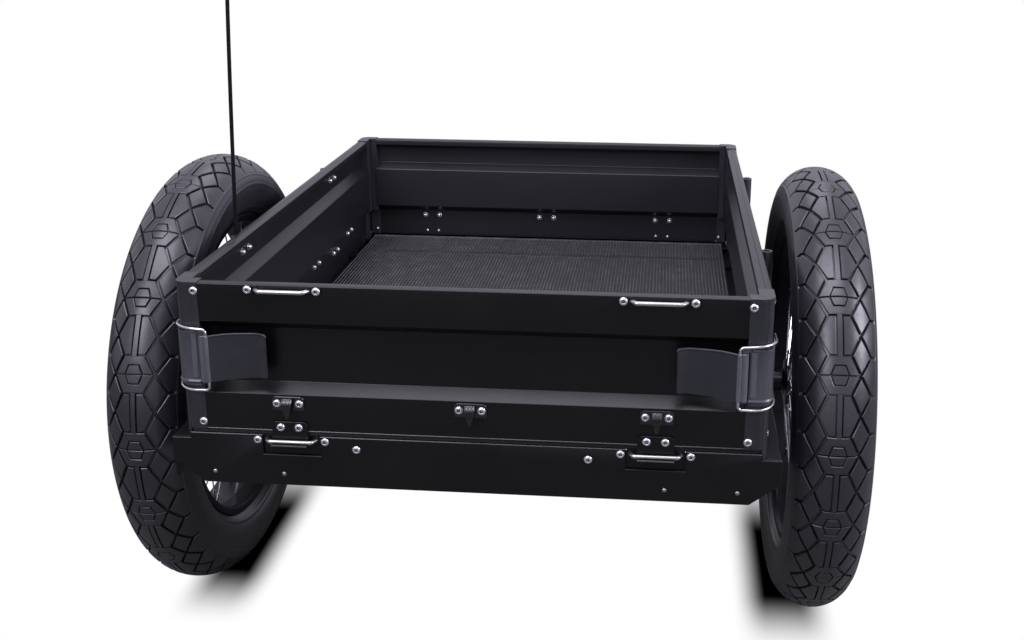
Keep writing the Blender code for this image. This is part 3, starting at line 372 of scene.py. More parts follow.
def turned(profile, steps, centre, axis):
    """A closed profile of (radius, height) points turned about an axis through the centre:
    point(i, a) = centre + height(i) axis + radius(i) (cos a p + sin a q)."""
    p, q = square_to(axis)
    a = angles(steps)[:, None]
    radius, height = profile[:, :1, None], profile[:, 1:, None]
    return hoop(np.asarray(centre) + height * unit(axis) + radius * (np.cos(a) * p + np.sin(a) * q))


def strap(path, across, low, high, thickness, corner=0.0004):
    """A flat strip along a path, from low to high along the across vector: its section is a
    rectangle with cut corners, carried along the path. The thickness may change along it."""
    path, across = np.asarray(path, float), unit(across)
    normal = unit(np.cross(unit(np.gradient(path, axis=0)), across))[:, None]
    low, high, half = (np.broadcast_to(part, len(path))[:, None, None]
                       for part in (low, high, np.divide(thickness, 2)))
    cut = corner * np.array((0, 1, 1, 0, 0, 1, 1, 0))[:, None]
    top = np.array((0, 0, 1, 1, 1, 1, 0, 0))[:, None]
    out = corner * np.array((1, 0, 0, 1, -1, 0, 0, -1))[:, None]
    face = np.array((-1, -1, -1, -1, 1, 1, 1, 1))[:, None]
    reach = np.where(top > 0, high - cut, low + cut)
    return capped(path[:, None] + across * reach + normal * (face * half + out))


def hexed(rings, scale, flats, sides=24):
    """A round or six-sided stud about +Z, a ring at a time from the bottom: each is (height,
    largest radius, whether it is six-sided) as shares of the scale, and the hexagon is flats
    across its flats."""
    angle = angles(sides)
    hexagon = flats / 2 / np.cos((angle + math.pi / 6) % (math.pi / 3) - math.pi / 6)
    height, radius, sixth = np.array(rings, float).T[..., None]
    reach = np.where(sixth > 0, np.minimum(radius, hexagon), radius)
    grid = np.stack([reach * np.cos(angle), reach * np.sin(angle), reach * 0 + height], -1)
    return capped(grid * scale)


def button_bolt(radius):
    """A domed bolt head with a hexagonal socket, standing on z = 0."""
    rings = [(0, 1, 0), (0.06, 1.02, 0), (0.18, 0.98, 0), (0.32, 0.88, 0), (0.42, 0.74, 0),
             (0.47, 0.58, 0), (0.47, 0.47, 0), (0.43, 0.44, 1), (0.05, 0.43, 1), (0.05, 0.17, 0),
             (0.29, 0.13, 0)]
    return hexed(rings, radius, 0.76)


def socket_shadow(radius):
    """A black disc of painted shadow for the floor of a bolt's socket, round the drilled point in its
    middle.
    """
    return hexed([(0.03, 0.44, 1), (0.25, 0.44, 1)], radius, 0.78)


def cap_nut(radius):
    """A domed nut on a washer, standing on z = 0: a low hexagon under a ball-shaped cap."""
    rings = [(0, 1.20, 0), (0.16, 1.20, 0), (0.20, 1.15, 0), (0.20, 1.02, 1), (0.62, 1.02, 1),
             (0.70, 0.90, 0)]
    rings += [(0.70 + 0.62 * math.sin(a), 0.86 * math.cos(a), 0) for a in np.radians((5, 25, 45, 65, 82))]
    return hexed(rings, radius, 1.85)


class Number:
    """A value from a node. Python's operators add the Math nodes that work them out."""

    def __init__(self, tree, socket):
        self.tree, self.socket = tree, socket

    def made(self, operation, *terms):
        node = self.tree.nodes.new("ShaderNodeMath")
        node.operation = operation
        for slot, term in zip(node.inputs, terms):
            feed(self.tree, slot, term)
        return Number(self.tree, node.outputs[0])

    def __add__(self, other):
        return self.made("ADD", self, other)

    def __sub__(self, other):
        return self.made("SUBTRACT", self, other)

    def __rsub__(self, other):
        return self.made("SUBTRACT", other, self)

    def __mul__(self, other):
        return self.made("MULTIPLY", self, other)

    def __abs__(self):
        return self.made("ABSOLUTE", self)

    def sine(self):
        return self.made("SINE", self)

    __radd__, __rmul__ = __add__, __mul__


def feed(tree, slot, value):
    """Links a node's value to an input, or sets the input."""
    if isinstance(value, Number):
        tree.links.new(value.socket, slot)
    elif slot.type == "RGBA" and len(value) == 3:
        slot.default_value = (*value, 1)
    else:
        slot.default_value = value


def shade(colour, factor):
    """A colour made lighter or darker."""
    return tuple(min(part * factor, 1) for part in colour)


class Nodes:
    """A node tree under way."""

    def __init__(self, tree):
        self.tree = tree

    def node(self, kind, settings=None, inputs=None, output=0):
        """Any node: its settings first, then its inputs' values or links."""
        made = self.tree.nodes.new(kind)
        for name, value in (settings or {}).items():
            setattr(made, name, value)
        for name, value in (inputs or {}).items():
            feed(self.tree, made.inputs[name], value)
        return Number(self.tree, made.outputs[output])

    def mix(self, factor, first, second):
        """A colour between two colours."""
        inputs = {0: factor, 6: first, 7: second}
        return self.node("ShaderNodeMix", {"data_type": "RGBA"}, inputs, 2)

    def rays(self):
        """Whether a ray comes from the camera, off a glossy surface or through a clear one."""
        kinds = ("Is Camera Ray", "Is Glossy Ray", "Is Transmission Ray")
        return [self.node("ShaderNodeLightPath", output=kind) for kind in kinds]


class Finish(Nodes):
    """A material under way. Constants are set on the shader's own sockets."""

    def __init__(self, name, slot, colour, roughness, **constants):
        self.material = bpy.data.materials.new(name)
        self.material.use_nodes = True
        self.material["slot"] = slot
        self.material.diffuse_color = (*colour, 1)
        super().__init__(self.material.node_tree)
        self.shader = self.tree.nodes["Principled BSDF"]
        self.colour = tuple(colour)
        self.drive(base_color=self.colour, roughness=roughness, **constants)
        self.place = self.node("ShaderNodeTexCoord", output="Object")

    def drive(self, **sockets):
        """Sets or links the shader's sockets, named in small letters."""
        names = {socket.name.lower().replace(" ", "_"): socket for socket in self.shader.inputs}
        for name, value in sockets.items():
            feed(self.tree, names[name], value)

    def parts(self, vector):
        """The three parts of a vector."""
        made = self.node("ShaderNodeSeparateXYZ", inputs={"Vector": vector})
        return [Number(self.tree, socket) for socket in made.socket.node.outputs]

    def noise(self, scale, detail, stretch=None):
        """Noise from 0 to 1 over the piece, with the axes stretched if they are given."""
        place = self.place
        if stretch:
            place = self.node("ShaderNodeMapping", inputs={"Vector": place, "Scale": stretch})
        inputs = {"Vector": place, "Scale": scale, "Detail": detail}
        return self.node("ShaderNodeTexNoise", inputs=inputs)

    def ramp(self, value, low, high, course="LINEAR"):
        """The value spread from 0 at low to 1 at high, and held at both ends."""
        inputs = {"Value": value, "From Min": low, "From Max": high}
        return self.node("ShaderNodeMapRange", {"interpolation_type": course, "clamp": True}, inputs)

    def tone(self, mask, dark, light):
        """The finish's colour between two shades of itself."""
        return self.mix(mask, shade(self.colour, dark), shade(self.colour, light))

    def dress(self, colour, roughness, grain, depth):
        """Drives the shader's colour and roughness, and its bump by a grain of the given depth."""
        bump = {"Height": grain, "Distance": depth, "Strength": 1.0}
        normal = self.node("ShaderNodeBump", inputs=bump)
        self.drive(base_color=colour, roughness=roughness, normal=normal)
        return self.material


def powder_coat(name, slot, colour, roughness, specular, inside=1.0):
    """Satin powder coat: orange-peel a millimetre across, cloudy sheen and a little settled dust.
    Faces inside the cargo box are painted paler, a painted light that is weaker on slopes and sides."""
    made = Finish(name, slot, colour, roughness, specular_ior_level=specular)
    cloud = made.noise(9, 3)
    speck = made.ramp(made.noise(700, 0), 0.70, 0.80)
    lit = made.tone(made.ramp(cloud, 0.35, 0.75), 0.8, 1.35)
    # Painted light: faces marked inner take a paler copy of the coat.
    if inside > 1:
        inner = made.node("ShaderNodeAttribute", {"attribute_name": "inner"}, output="Fac")
        lit = made.mix(inner, lit, shade(colour, inside))
    dusty = made.mix(speck * 0.3, lit, shade(colour, 4))
    sheen = roughness - 0.05 + cloud * 0.10 + speck * 0.1
    return made.dress(dusty, sheen, made.noise(1300, 1), 0.00004)


def satin(name, slot, colour, roughness):
    """The posts' and latch plates' anodised look: fine upright drawing lines in a satin grey."""
    made = Finish(name, slot, colour, roughness, metallic=0.25, specular_ior_level=0.45)
    lines, cloud = made.noise(2200, 1, (1, 1, 0.02)), made.noise(14, 3)
    tone = made.tone(made.ramp(lines + cloud * 0.4, 0.45, 0.95), 0.8, 1.3)
    return made.dress(tone, roughness - 0.08 + lines * 0.08 + cloud * 0.10, lines, 0.00002)


def lever_paint(name, slot, colour, roughness):
    """The levers' coat: smooth, with fine scuffs along their length."""
    made = Finish(name, slot, colour, roughness, specular_ior_level=0.4)
    scuffs, cloud = made.ramp(made.noise(420, 2, (0.08, 0.3, 1)), 0.60, 0.72), made.noise(25, 2)
    tone = made.tone(scuffs * 0.25 + cloud * 0.2, 1, 2.2)
    sheen = roughness - 0.06 + cloud * 0.10 + scuffs * 0.12
    return made.dress(tone, sheen, made.noise(1500, 1), 0.00002)


def plated(name, slot, colour, roughness, grain=1.0, metallic=1.0):
    """Plated wire and bolts: bright, with a fine drawn grain and faint clouding."""
    made = Finish(name, slot, colour, roughness, metallic=metallic)
    cloud = made.noise(160, 3)
    sheen = roughness - 0.06 + cloud * 0.12
    return made.dress(made.tone(cloud, 0.82, 1.12), sheen, made.noise(3000, 1), 0.00002 * grain)


def soft_rubber(name, slot, colour, roughness):
    """Tyre rubber: a matt bloom in clouds over a faintly grained, slightly shiny skin."""
    made = Finish(name, slot, colour, roughness, specular_ior_level=0.75)
    bloom, scuff = made.noise(22, 4), made.ramp(made.noise(160, 3), 0.58, 0.72)
    tone = made.tone(made.ramp(bloom, 0.3, 0.75), 0.8, 1.25)
    worn = made.mix(scuff * 0.2, tone, shade(colour, 2.4))
    sheen = roughness - 0.10 + bloom * 0.15 + scuff * 0.08
    return made.dress(worn, sheen, made.noise(900, 2), 0.00006)


def gloss_paint(name, slot, colour, roughness):
    """The rims' deep black, with a soft gloss."""
    made = Finish(name, slot, colour, roughness, specular_ior_level=0.12)
    cloud = made.noise(30, 2)
    sheen = roughness - 0.04 + cloud * 0.12
    return made.dress(made.tone(cloud, 0.8, 1.4), sheen, made.noise(900, 1), 0.00001)


def hub_shell(name, slot, colour, roughness):
    """The hubs' black anodised aluminium with turning lines."""
    made = Finish(name, slot, colour, roughness, metallic=0.6)
    lines = made.noise(1500, 1, (1, 0.05, 0.05))
    return made.dress(made.colour, roughness - 0.06 + lines * 0.14, lines, 0.00002)


def grid_coat(name, slot, colour, roughness):
    """The floor grid's coat, worn a little brighter on top of its strands."""
    made = Finish(name, slot, colour, roughness, specular_ior_level=0.45)
    wear = made.ramp(made.noise(60, 4), 0.45, 0.75)
    sheen = roughness - 0.07 + wear * 0.14
    return made.dress(made.tone(wear, 1, 1.8), sheen, made.noise(1200, 1), 0.00003)


def moulded_plastic(name, slot, colour, roughness):
    """Black plastic and rubber mouldings with a fine spark-eroded grain; also the black disc of painted
    shadow in the bolts' sockets.
    """
    made = Finish(name, slot, colour, roughness, specular_ior_level=0.15)
    grain = made.noise(1100, 2)
    sheen = roughness - 0.08 + grain * 0.15
    return made.dress(made.tone(made.noise(20, 2), 0.8, 1.5), sheen, grain, 0.00005)


def pennant_cloth(name, slot, colour, roughness):
    """Woven nylon: crossing threads on the cloth's own UV map, with a soft sheen."""
    made = Finish(name, slot, colour, roughness, sheen_weight=0.3)
    threads = 700
    along, up, _ = made.parts(made.node("ShaderNodeUVMap", {"uv_map": "UVMap"}))
    weave = (along * threads).sine() * (up * threads).sine()
    tone = made.tone(weave * 0.15 + made.noise(30, 3) * 0.5, 0.85, 1.15)
    return made.dress(tone, roughness - 0.05 + weave * 0.08, weave, 0.00008)


def finish(name):
    """A finish by name, made the first time that it is asked for."""
    if name in bpy.data.materials:
        return bpy.data.materials[name]
    scene = bpy.context.scene
    sheets, metals, wheels = scene.trailer_sheets, scene.trailer_metals, scene.trailer_wheels
    maker, *given = {
        # The panels' last number is how much paler their inner faces are painted, as painted light.
        "panel_coat": (powder_coat, "black_panel", sheets.panel, 0.32, 0.35, 6.0),
        "frame_coat": (powder_coat, "black_frame", sheets.frame, 0.36, 0.33),
        "hook_gloss": (powder_coat, "black_frame", shade(sheets.frame, 1.6), 0.26, 0.8),
        "satin_post": (satin, "grey_post", sheets.post, 0.36),
        "satin_plate": (satin, "grey_post", shade(sheets.post, 2.2), 0.30),
        # A lighter copy of the posts' satin, for the barrels and for the ribs' painted highlight.
        "satin_barrel": (satin, "grey_post", shade(sheets.post, 4.0), 0.30),
        "lever_paint": (lever_paint, "lever_coat", sheets.lever, 0.40),
        "bright_wire": (plated, "zinc_wire", metals.zinc, 0.22),
        "bright_bolt": (plated, "steel", shade(metals.zinc, 1.25), 0.22, 1.0, 0.75),
        "brushed_bar": (plated, "steel", metals.nickel, 0.34, 3.0),
        "hitch_steel": (plated, "steel", shade(metals.nickel, 0.8), 0.38, 3.0),
        "spoke_steel": (plated, "hub_metal", metals.zinc, 0.18),
        "soft_rubber": (soft_rubber, "tyre_rubber", wheels.rubber, 0.36),
        "rim_gloss": (gloss_paint, "black_rim", wheels.rim, 0.40),
        "hub_anodised": (hub_shell, "hub_metal", shade(wheels.rim, 1.8), 0.30),
        "grid_coat": (grid_coat, "floor_mesh", scene.trailer_floor.coat, 0.45),
        "moulded_plastic": (moulded_plastic, "black_plastic", (0.006, 0.006, 0.007), 0.50),
        "pennant_cloth": (pennant_cloth, "flag_cloth", scene.trailer_flag.cloth, 0.65),
    }[name]
    return maker(name, *given)


def new_piece(name, shapes, finish_name, body, node="", edge=0.0, smooth=35):
    """Shapes in trailer terms as one piece on a body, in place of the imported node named."""
    points, faces = joined(shapes)
    places = (points - (0, ORIGIN_Y, 0)).tolist()
    mesh = bpy.data.meshes.new(name)
    mesh.from_pydata(places, [], [face for block in faces for face in block.tolist()])
    shape = bmesh.new()
    shape.from_mesh(mesh)
    bmesh.ops.recalc_face_normals(shape, faces=shape.faces)
    shape.to_mesh(mesh)
    shape.free()
    return placed_piece(name, mesh, finish_name, body, node, edge, smooth)


def placed_piece(name, mesh, finish_name, body, node, edge, smooth):
    """A finished mesh as an object that rides on a body, its edges rounded if asked."""
    mesh.shade_smooth()
    mesh.set_sharp_from_angle(angle=math.radians(smooth))
    material = finish(finish_name)
    mesh.materials.clear()
    mesh.materials.append(material)
    piece = bpy.data.objects.new(name, mesh)
    bpy.context.scene.collection.objects.link(piece)
    if edge:
        bevel = piece.modifiers.new("edges", "BEVEL")
        bevel.width = edge
        bevel.segments = 2
        bevel.limit_method = "ANGLE"
        bevel.angle_limit = math.radians(smooth)
        bevel.harden_normals = True
    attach(piece, body)
    if node:
        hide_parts(node)
    return piece


def softened(node, finish_name, edge):
    """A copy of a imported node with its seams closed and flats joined, then its edges rounded."""
    source = frame["nodes"][node]
    shape = bmesh.new()
    shape.from_mesh(source.data)
    bmesh.ops.remove_doubles(shape, verts=shape.verts, dist=0.00001)
    bmesh.ops.dissolve_limit(
        shape, angle_limit=math.radians(0.5), verts=shape.verts, edges=shape.edges,
        use_dissolve_boundaries=False)
    mesh = bpy.data.meshes.new(node + "_soft")
    shape.to_mesh(mesh)
    shape.free()
    placed_piece(node + "_dressed", mesh, finish_name, source["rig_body"], node, edge, 35)


def mark_painted_light(piece):
    """Marks the faces that look in towards the middle of the cargo box for painted light, slopes and
    sides less.
    """
    mesh = piece.data
    centres, normals = np.zeros((2, len(mesh.polygons), 3))
    mesh.polygons.foreach_get("center", centres.ravel())
    mesh.polygons.foreach_get("normal", normals.ravel())
    centres[:, 1] += ORIGIN_Y - MIDDLE_Y
    inner = ((centres[:, :2] * normals[:, :2]).sum(1) < -0.01) * (1 - 0.9 * np.abs(normals[:, 2]))
    inner *= 1 - 0.45 * np.abs(normals[:, 0])
    layer = mesh.attributes.new("inner", "FLOAT", "FACE")
    layer.data.foreach_set("value", inner.astype(np.float32))


def end_y(end, depth):
    """The place along the trailer at a depth in from the rear (end 0) or the front (end 1) face."""
    return depth if end == 0 else BOX_LENGTH - depth


def out_of(end):
    """The way that an end of the box faces."""
    return np.array((0, 1 if end else -1, 0))


def pairs(centres, spread):
    """Two places, a spread to either side, for each centre."""
    return [centre + way * spread for centre in centres for way in (-1, 1)]


def corner_xy(side, end, points):
    """A corner's (u, v) points as the trailer's (x, y)."""
    points = np.asarray(points, float)
    return np.stack([side * (BOX_HALF_WIDTH - points[..., 0]), end_y(end, points[..., 1])], -1)


def corner_arc(radius, first, last, steps=10):
    """Part of the rounded outer corner, from the end face (0 degrees) to the side face (90)."""
    return arc((CORNER_CENTRE, CORNER_CENTRE), radius, 270 - first, 270 - last, steps)


def upright(side, end, levels):
    """A corner piece whose outline changes with height: levels are (outline in (u, v), z)."""
    rows = [np.insert(corner_xy(side, end, outline), 2, z, axis=1) for outline, z in levels]
    return capped(np.stack(rows))


def pin(side, end, point, low, high, radius):
    """An upright rod at a corner's (u, v) point."""
    x, y = corner_xy(side, end, point)
    return rod((x, y, low), (x, y, high), radius)


def panel_outline(bottom, bend):
    """The panel's stepped section as its depths and heights: a rim crowned each side of a fine
    seam, an upper band, a middle set inwards over a sloped shelf, and a lower band, with rounded
    folds."""
    upper = math.tan(math.atan2(RECESS_DEPTH, BAND_LOW - RECESS_HIGH) / 2) * SHEET
    lower = math.tan(math.atan2(RECESS_DEPTH, SHELF_HIGH - SHELF_LOW) / 2) * SHEET
    crown = mm([(0, -0.3), (6.6, -0.1), (7.2, -0.7), (7.8, -0.1), (15, -1.3)]) + (0, RIM_TOP)
    back = RECESS_DEPTH + SHEET
    corners = [
        (0, bottom), (0, SHELF_LOW), (RECESS_DEPTH, SHELF_HIGH), (RECESS_DEPTH, RECESS_HIGH),
        (0, BAND_LOW), *crown, (RIM_DEPTH, RIM_LOW), (SHEET, RIM_LOW), (SHEET, BAND_LOW + upper),
        (back, RECESS_HIGH + upper), (back, SHELF_HIGH - lower), (SHEET, SHELF_LOW - lower),
        (SHEET, bottom),
    ]
    cut, seam = 0.0004, 0.0002
    radii = [cut] + [bend] * 5 + [seam] * 3 + [bend] * 4 + [bend * 2, bend * 2, bend, cut]
    return rounded(corners, np.array(radii)).T


def gate_post_outline(depth, lip=0.0):
    """The half-post on the gate, in (u, v): its end against the panel, the rounded corner up to
    the mitre, and the mitre back to the inner face. A lip makes it larger all round."""
    curve = corner_arc(CORNER_RADIUS + lip, 0, MITRE_DEGREES)
    u, v = curve[-1]
    far, edge = depth + lip, POST_WIDTH + lip / 6
    back = [(u + (far - v) * MITRE_SLOPE, far), (edge, far)]
    return np.concatenate([[(edge, -POST_PROUD - lip)], curve, back])


def side_post_outline(depth, lip=0.0):
    """The half-post on the side, from the mitre round to its end against the side panel."""
    curve = corner_arc(CORNER_RADIUS + lip, MITRE_DEGREES + MITRE_GAP_DEGREES, 90, 16)
    u, v = curve[0]
    far, edge = depth + lip, SIDE_POST_LENGTH + lip / 6
    back = [(-POST_PROUD - lip, edge), (far, edge), (far, v + (far - u) / MITRE_SLOPE)]
    return np.concatenate([curve, back])


def post_shape(outline, side, end, bottom, lowest=()):
    """A half-post from its thinner foot to its lipped cap, one outline a level."""
    foot, full, cap = outline(POST_FOOT_DEPTH), outline(POST_DEPTH), outline(POST_DEPTH, CAP_LIP)
    cap_low, cap_high = RIM_TOP - CAP_HEIGHT, RIM_TOP + CAP_LIP
    return upright(side, end, [
        *lowest, (foot, bottom), (foot, SHELF_LOW), (full, SHELF_LOW), (full, cap_low),
        (cap, cap_low), (cap, cap_high)])


def latch_plate(side, end):
    """The latch's plate: it wraps the corner over a thin skirt, its foot rolled outwards, and
    carries the lever's pin between two ears."""
    inside, turn_in = 0.001, 0.008

    def wrap(roll):
        outer, inner = WRAP_OUTER + roll, WRAP_INNER + roll
        u, w = CORNER_CENTRE - outer, CORNER_CENTRE - inner
        return np.concatenate([
            [(WRAP_END, u)], corner_arc(outer, 0, 90, 12), [(u, WRAP_REACH), (w, WRAP_REACH)],
            corner_arc(inner, 90, 24), [(turn_in, inside), (WRAP_END, inside)]])

    low, high = LATCH_LOW - GAP - FOOT_EAR, LATCH_HIGH + GAP + EAR_WALL
    rolls = mm([(-1.4, -4.8), (-1.4, -0.4), (0.6, -0.4), (1.4, 0), (1.6, 0.6), (1.3, 1.3),
                (0.4, 2.2), (0, 3.2)])
    levels = [(wrap(roll), low + rise) for roll, rise in rolls] + [(wrap(0), high)]
    eye = arc(LATCH_HINGE, EAR_RADIUS, 180, 450, 12)
    ear = np.concatenate([mm([(20, -3)]), eye, mm([(20, 0.5)])])
    return [
        upright(side, end, levels),
        upright(side, end, [(ear, LATCH_HIGH + GAP), (ear, high)]),
        upright(side, end, [(ear, low), (ear, LATCH_LOW - GAP)]),
        pin(side, end, LATCH_HINGE, low - 0.0002, high + 0.0002, PIN_RADIUS),
    ]


def latch_highlight_rib(side, end):
    """A low upright rib on the latch plate's flat, beside the lever's barrel, in a lighter finish that
    paints a band of highlight on the plate.
    """
    face = CORNER_CENTRE - WRAP_OUTER
    section = rectangle((0.0158, face - 0.0007), (0.0218, face + 0.001), 0.0005, 3)
    return upright(side, end, [(section, LATCH_LOW + 0.0035), (section, LATCH_HIGH)])


def barrel_shapes(side, end):
    """The lever's barrel round the pin, and the bail's eye beside it."""
    trim = 0.0002
    return [pin(side, end, LATCH_HINGE, LATCH_LOW, LATCH_HIGH, LATCH_BARREL),
            pin(side, end, LATCH_EYE, LATCH_LOW + trim, LATCH_HIGH - trim, EYE_RADIUS)]


def lever_shapes(side, end):
    """The lever: a curved plate from the hinge to a rolled free end, with a beaded upper
    edge. Its height narrows towards the end, whose two corners are rounded."""
    knots = mm([(33.5, -8.8), (37, -7.8), (43.5, -5.6), (52.5, -3), (63.5, -1.2), (80, -0.2),
                (88.5, -0.3), (99.6, -5.2)])
    path = rounded(knots, mm((20, 20, 40, 40, 40, 40, 3, 20)), closed=False)
    travel = travelled(path)
    left = LEVER_CORNER * (1 - np.sin(np.radians(np.linspace(15, 90, 6))))
    marks = np.concatenate([travel[travel < travel[-1] - LEVER_CORNER], travel[-1] - left])
    path = np.stack([np.interp(marks, travel, part) for part in path.T], 1)
    path = np.insert(corner_xy(side, end, path), 2, 0, axis=1)
    share = marks / marks[-1]
    inset = corner_inset(marks[-1] - marks, LEVER_CORNER)
    lift = 0.0010 * np.clip(share / 0.3, 0, 1)
    low = LATCH_LOW + lift + 0.0045 * np.clip(share - 0.2, 0, 1) / 0.8 + inset
    high = LATCH_HIGH + lift + 0.0020 * share - inset
    bead = path + out_of(end) * 0.0003
    bead[:, 2] = high - 0.0012
    return [strap(path, (0, 0, 1), low, high, LEVER_SHEET, 0.0006), tube(bead[3:], 0.0014)]


def bail_shape(side, end, radius):
    """The wire loop from the lever's eye round the corner to its upright run and back."""
    u, v = LATCH_EYE
    high, low, off, near = LATCH_HIGH + GAP, LATCH_LOW - GAP, -BAIL_STANDOFF, v + 0.0010
    corners = [
        (u, v, high - 0.0050), (u, v, high + 0.0065), (off, near, high + 0.0090),
        (off, BAIL_REACH, high + 0.0040), (off, BAIL_REACH, low - 0.0050),
        (off, near, low - 0.0105), (u, v, low - 0.0090), (u, v, low + 0.0050)]
    path = rounded(corners, mm((0, 4.5, 27, 6, 6, 27, 4.5, 0)) + 1e-6, 10, closed=False)
    return tube(np.insert(corner_xy(side, end, path), 2, path[:, 2], axis=1), radius, 14)


def bar_shape(x, z, standoff, end, feet_depth, radius):
    """A U-shaped round bar standing off an end face, its straight part along X."""
    near, off = end_y(end, feet_depth), end_y(end, -standoff)
    corners = [(x - BAR_FEET, near, z), (x - BAR_STRAIGHT, off, z),
               (x + BAR_STRAIGHT, off, z), (x + BAR_FEET, near, z)]
    return tube(rounded(corners, 0.004, 8, closed=False), radius, 18)


def drops(first, last, count):
    """Depths below a plate's upper edge, close together over its first millimetre."""
    return np.concatenate([mm((0, 0.3, 1)), np.linspace(first, last, count)])


def eased(drop):
    """A 2 mm plate's thickness, thinned over the first millimetre below its upper edge."""
    return SHEET * np.interp(drop, mm((0, 0.3, 1)), (0.3, 0.6, 1))


def hinge_shape(x, end):
    """A plate on the gate's lower band that curls round the beam's bar. Its width follows two
    rounded upper corners, and is the same from there to the curl's end."""
    curl = arc((-HINGE_OFFSET, HINGE_HEIGHT), CURL_RADIUS, 0, -150, 18)
    top = HINGE_PLATE_TOP - drops(0.0015, 0.0215, 22)
    path = np.concatenate([np.stack([top * 0 - HINGE_OFFSET + CURL_RADIUS, top], 1), curl])
    drop = HINGE_PLATE_TOP - path[:, 1]
    half = HINGE_HALF - corner_inset(drop, 0.005)
    places = np.stack([path[:, 0] * 0 + x, end_y(end, path[:, 0]), path[:, 1]], 1)
    return strap(places, (1, 0, 0), -half, half, eased(drop), 0.0003)


def hook_shapes(place, outwards, across):
    """A lashing hook at a plate's foot centre: a small plate, and an arched tongue that tapers
    to a point below it, with three ribs down it."""
    place, outwards, across = np.asarray(place, float), unit(outwards), unit(across)
    drop = drops(0.0016, HOOK_HIGH - HOOK_LOW, 12)
    half = HOOK_HALF - corner_inset(drop, 0.004)
    path = place + outwards * 0.0013 + (HOOK_HIGH - drop)[:, None] * (0, 0, 1)
    plate = strap(path, across, -half, half, eased(drop), 0.0007)
    knots = mm([(1.8, 383.6), (5.5, 384), (8.9, 380), (9.4, 373.5), (9, 369), (9.2, 362)])
    arch = rounded(knots, 0.006, 5, closed=False)
    run = travelled(arch)
    width = np.interp(run / run[-1], [0, 0.40, 0.62, 1], mm((5.6, 5.6, 4.6, 0.8)))
    path = place + outwards * arch[:, :1] + np.array((0, 0, 1)) * arch[:, 1:]
    ribs = [path + across * (way * width)[:, None] + outwards * 0.0010 for way in (-0.66, 0, 0.66)]
    tongue = strap(path, across, -width, width, 0.0021, 0.0005)
    return [plate, tongue, *(tube(rib[2:-3], 0.0008, 8) for rib in ribs)]


class TRAILER_OT_panels(bpy.types.Operator):
    """Side panels and gate panels from their folded section"""

    bl_idname = "trailer.panels"
    bl_label = "Panels"

    def execute(self, context):
        bend = context.scene.trailer_sheets.bend
        half, start = BOX_HALF_WIDTH - POST_WIDTH + PANEL_TUCK, SIDE_POST_LENGTH - PANEL_TUCK
        for gate, _, end in ENDS:
            depth, z = panel_outline(GATE_LOW, bend)
            shape = prism(np.stack([end_y(end, depth), z], 1), "X", -half, half)
            self.panel(f"{gate}_sheet", shape, gate, f"{gate}_panel")
            foot = self.roll(end, GATE_LOW + ROLL_RISE, -half, half)
            new_piece(f"{gate}_foot_roll", [foot], "hook_gloss", gate)
            spans = ((0.235, 0.317), (-0.170, 0.170), (-0.317, -0.235))
            rolls = [self.roll(end, BEAM_HIGH - ROLL_RISE, *span) for span in spans]
            new_piece(f"{gate}_beam_roll", rolls, "hook_gloss", "chassis")
        for word, side in SIDES:
            depth, z = panel_outline(LEDGE_TOP + GAP, bend)
            outline = np.stack([side * (BOX_HALF_WIDTH - depth), z], 1)
            shape = prism(outline, "Y", start, BOX_LENGTH - start)
            self.panel(f"{word}_side_sheet", shape, "chassis", f"{word}_side_panel")
        return {"FINISHED"}

    def panel(self, name, shape, body, node):
        """A pressed panel, marked on its inner faces where painted light pales them."""
        mark_painted_light(new_piece(name, [shape], "panel_coat", body, node, smooth=50))

    def roll(self, end, z, start, stop):
        """A sheet's rolled edge as a thin rod along an end face."""
        y = end_y(end, 0.0006)
        return rod((start, y, z), (stop, y, z), ROLL_RADIUS, 12)


class TRAILER_OT_posts(bpy.types.Operator):
    """Mitred corner posts with their caps, latch plates and keepers"""

    bl_idname = "trailer.posts"
    bl_label = "Posts"

    def execute(self, context):
        edge = context.scene.trailer_sheets.edge * 2
        for gate, place, end, word, side in CORNERS:
            name = f"{gate}_{word}"
            post = post_shape(gate_post_outline, side, end, GATE_LOW + GAP)
            new_piece(f"{name}_corner", [post], "satin_post", gate, f"{name}_post", edge)
            new_piece(f"{name}_latch_plate", latch_plate(side, end), "satin_plate", gate, edge=edge)
            # The rib is a lighter copy of the satin: a painted highlight band.
            new_piece(f"{name}_latch_rib", [latch_highlight_rib(side, end)], "satin_barrel", gate)
            new_piece(f"{word}_{place}_corner", self.side_post(side, end), "satin_post", "chassis",
                      f"{word}_{place}_side_post", edge)
        return {"FINISHED"}

    def side_post(self, side, end):
        """A side half-post: its foot keeps clear of the beam, and the keeper stands out of it."""
        u, v = side_post_outline(POST_FOOT_DEPTH).T
        clear = np.stack([np.minimum(u, BOX_HALF_WIDTH - BEAM_STEP - GAP), v], 1)
        step, hidden = BEAM_HIGH + GAP, 0.004
        lowest = [(clear, LEDGE_TOP + GAP), (clear, step)]
        keeper = [(-KEEPER_PROUD, KEEPER_START), (-KEEPER_PROUD, KEEPER_REACH),
                  (-KEEPER_PROUD + 0.003, KEEPER_REACH), (hidden, 0.040), (hidden, KEEPER_START)]
        low, high = LATCH_LOW + 0.002, LATCH_HIGH - 0.004
        return [post_shape(side_post_outline, side, end, step, lowest),
                upright(side, end, [(keeper, low), (keeper, high)])]


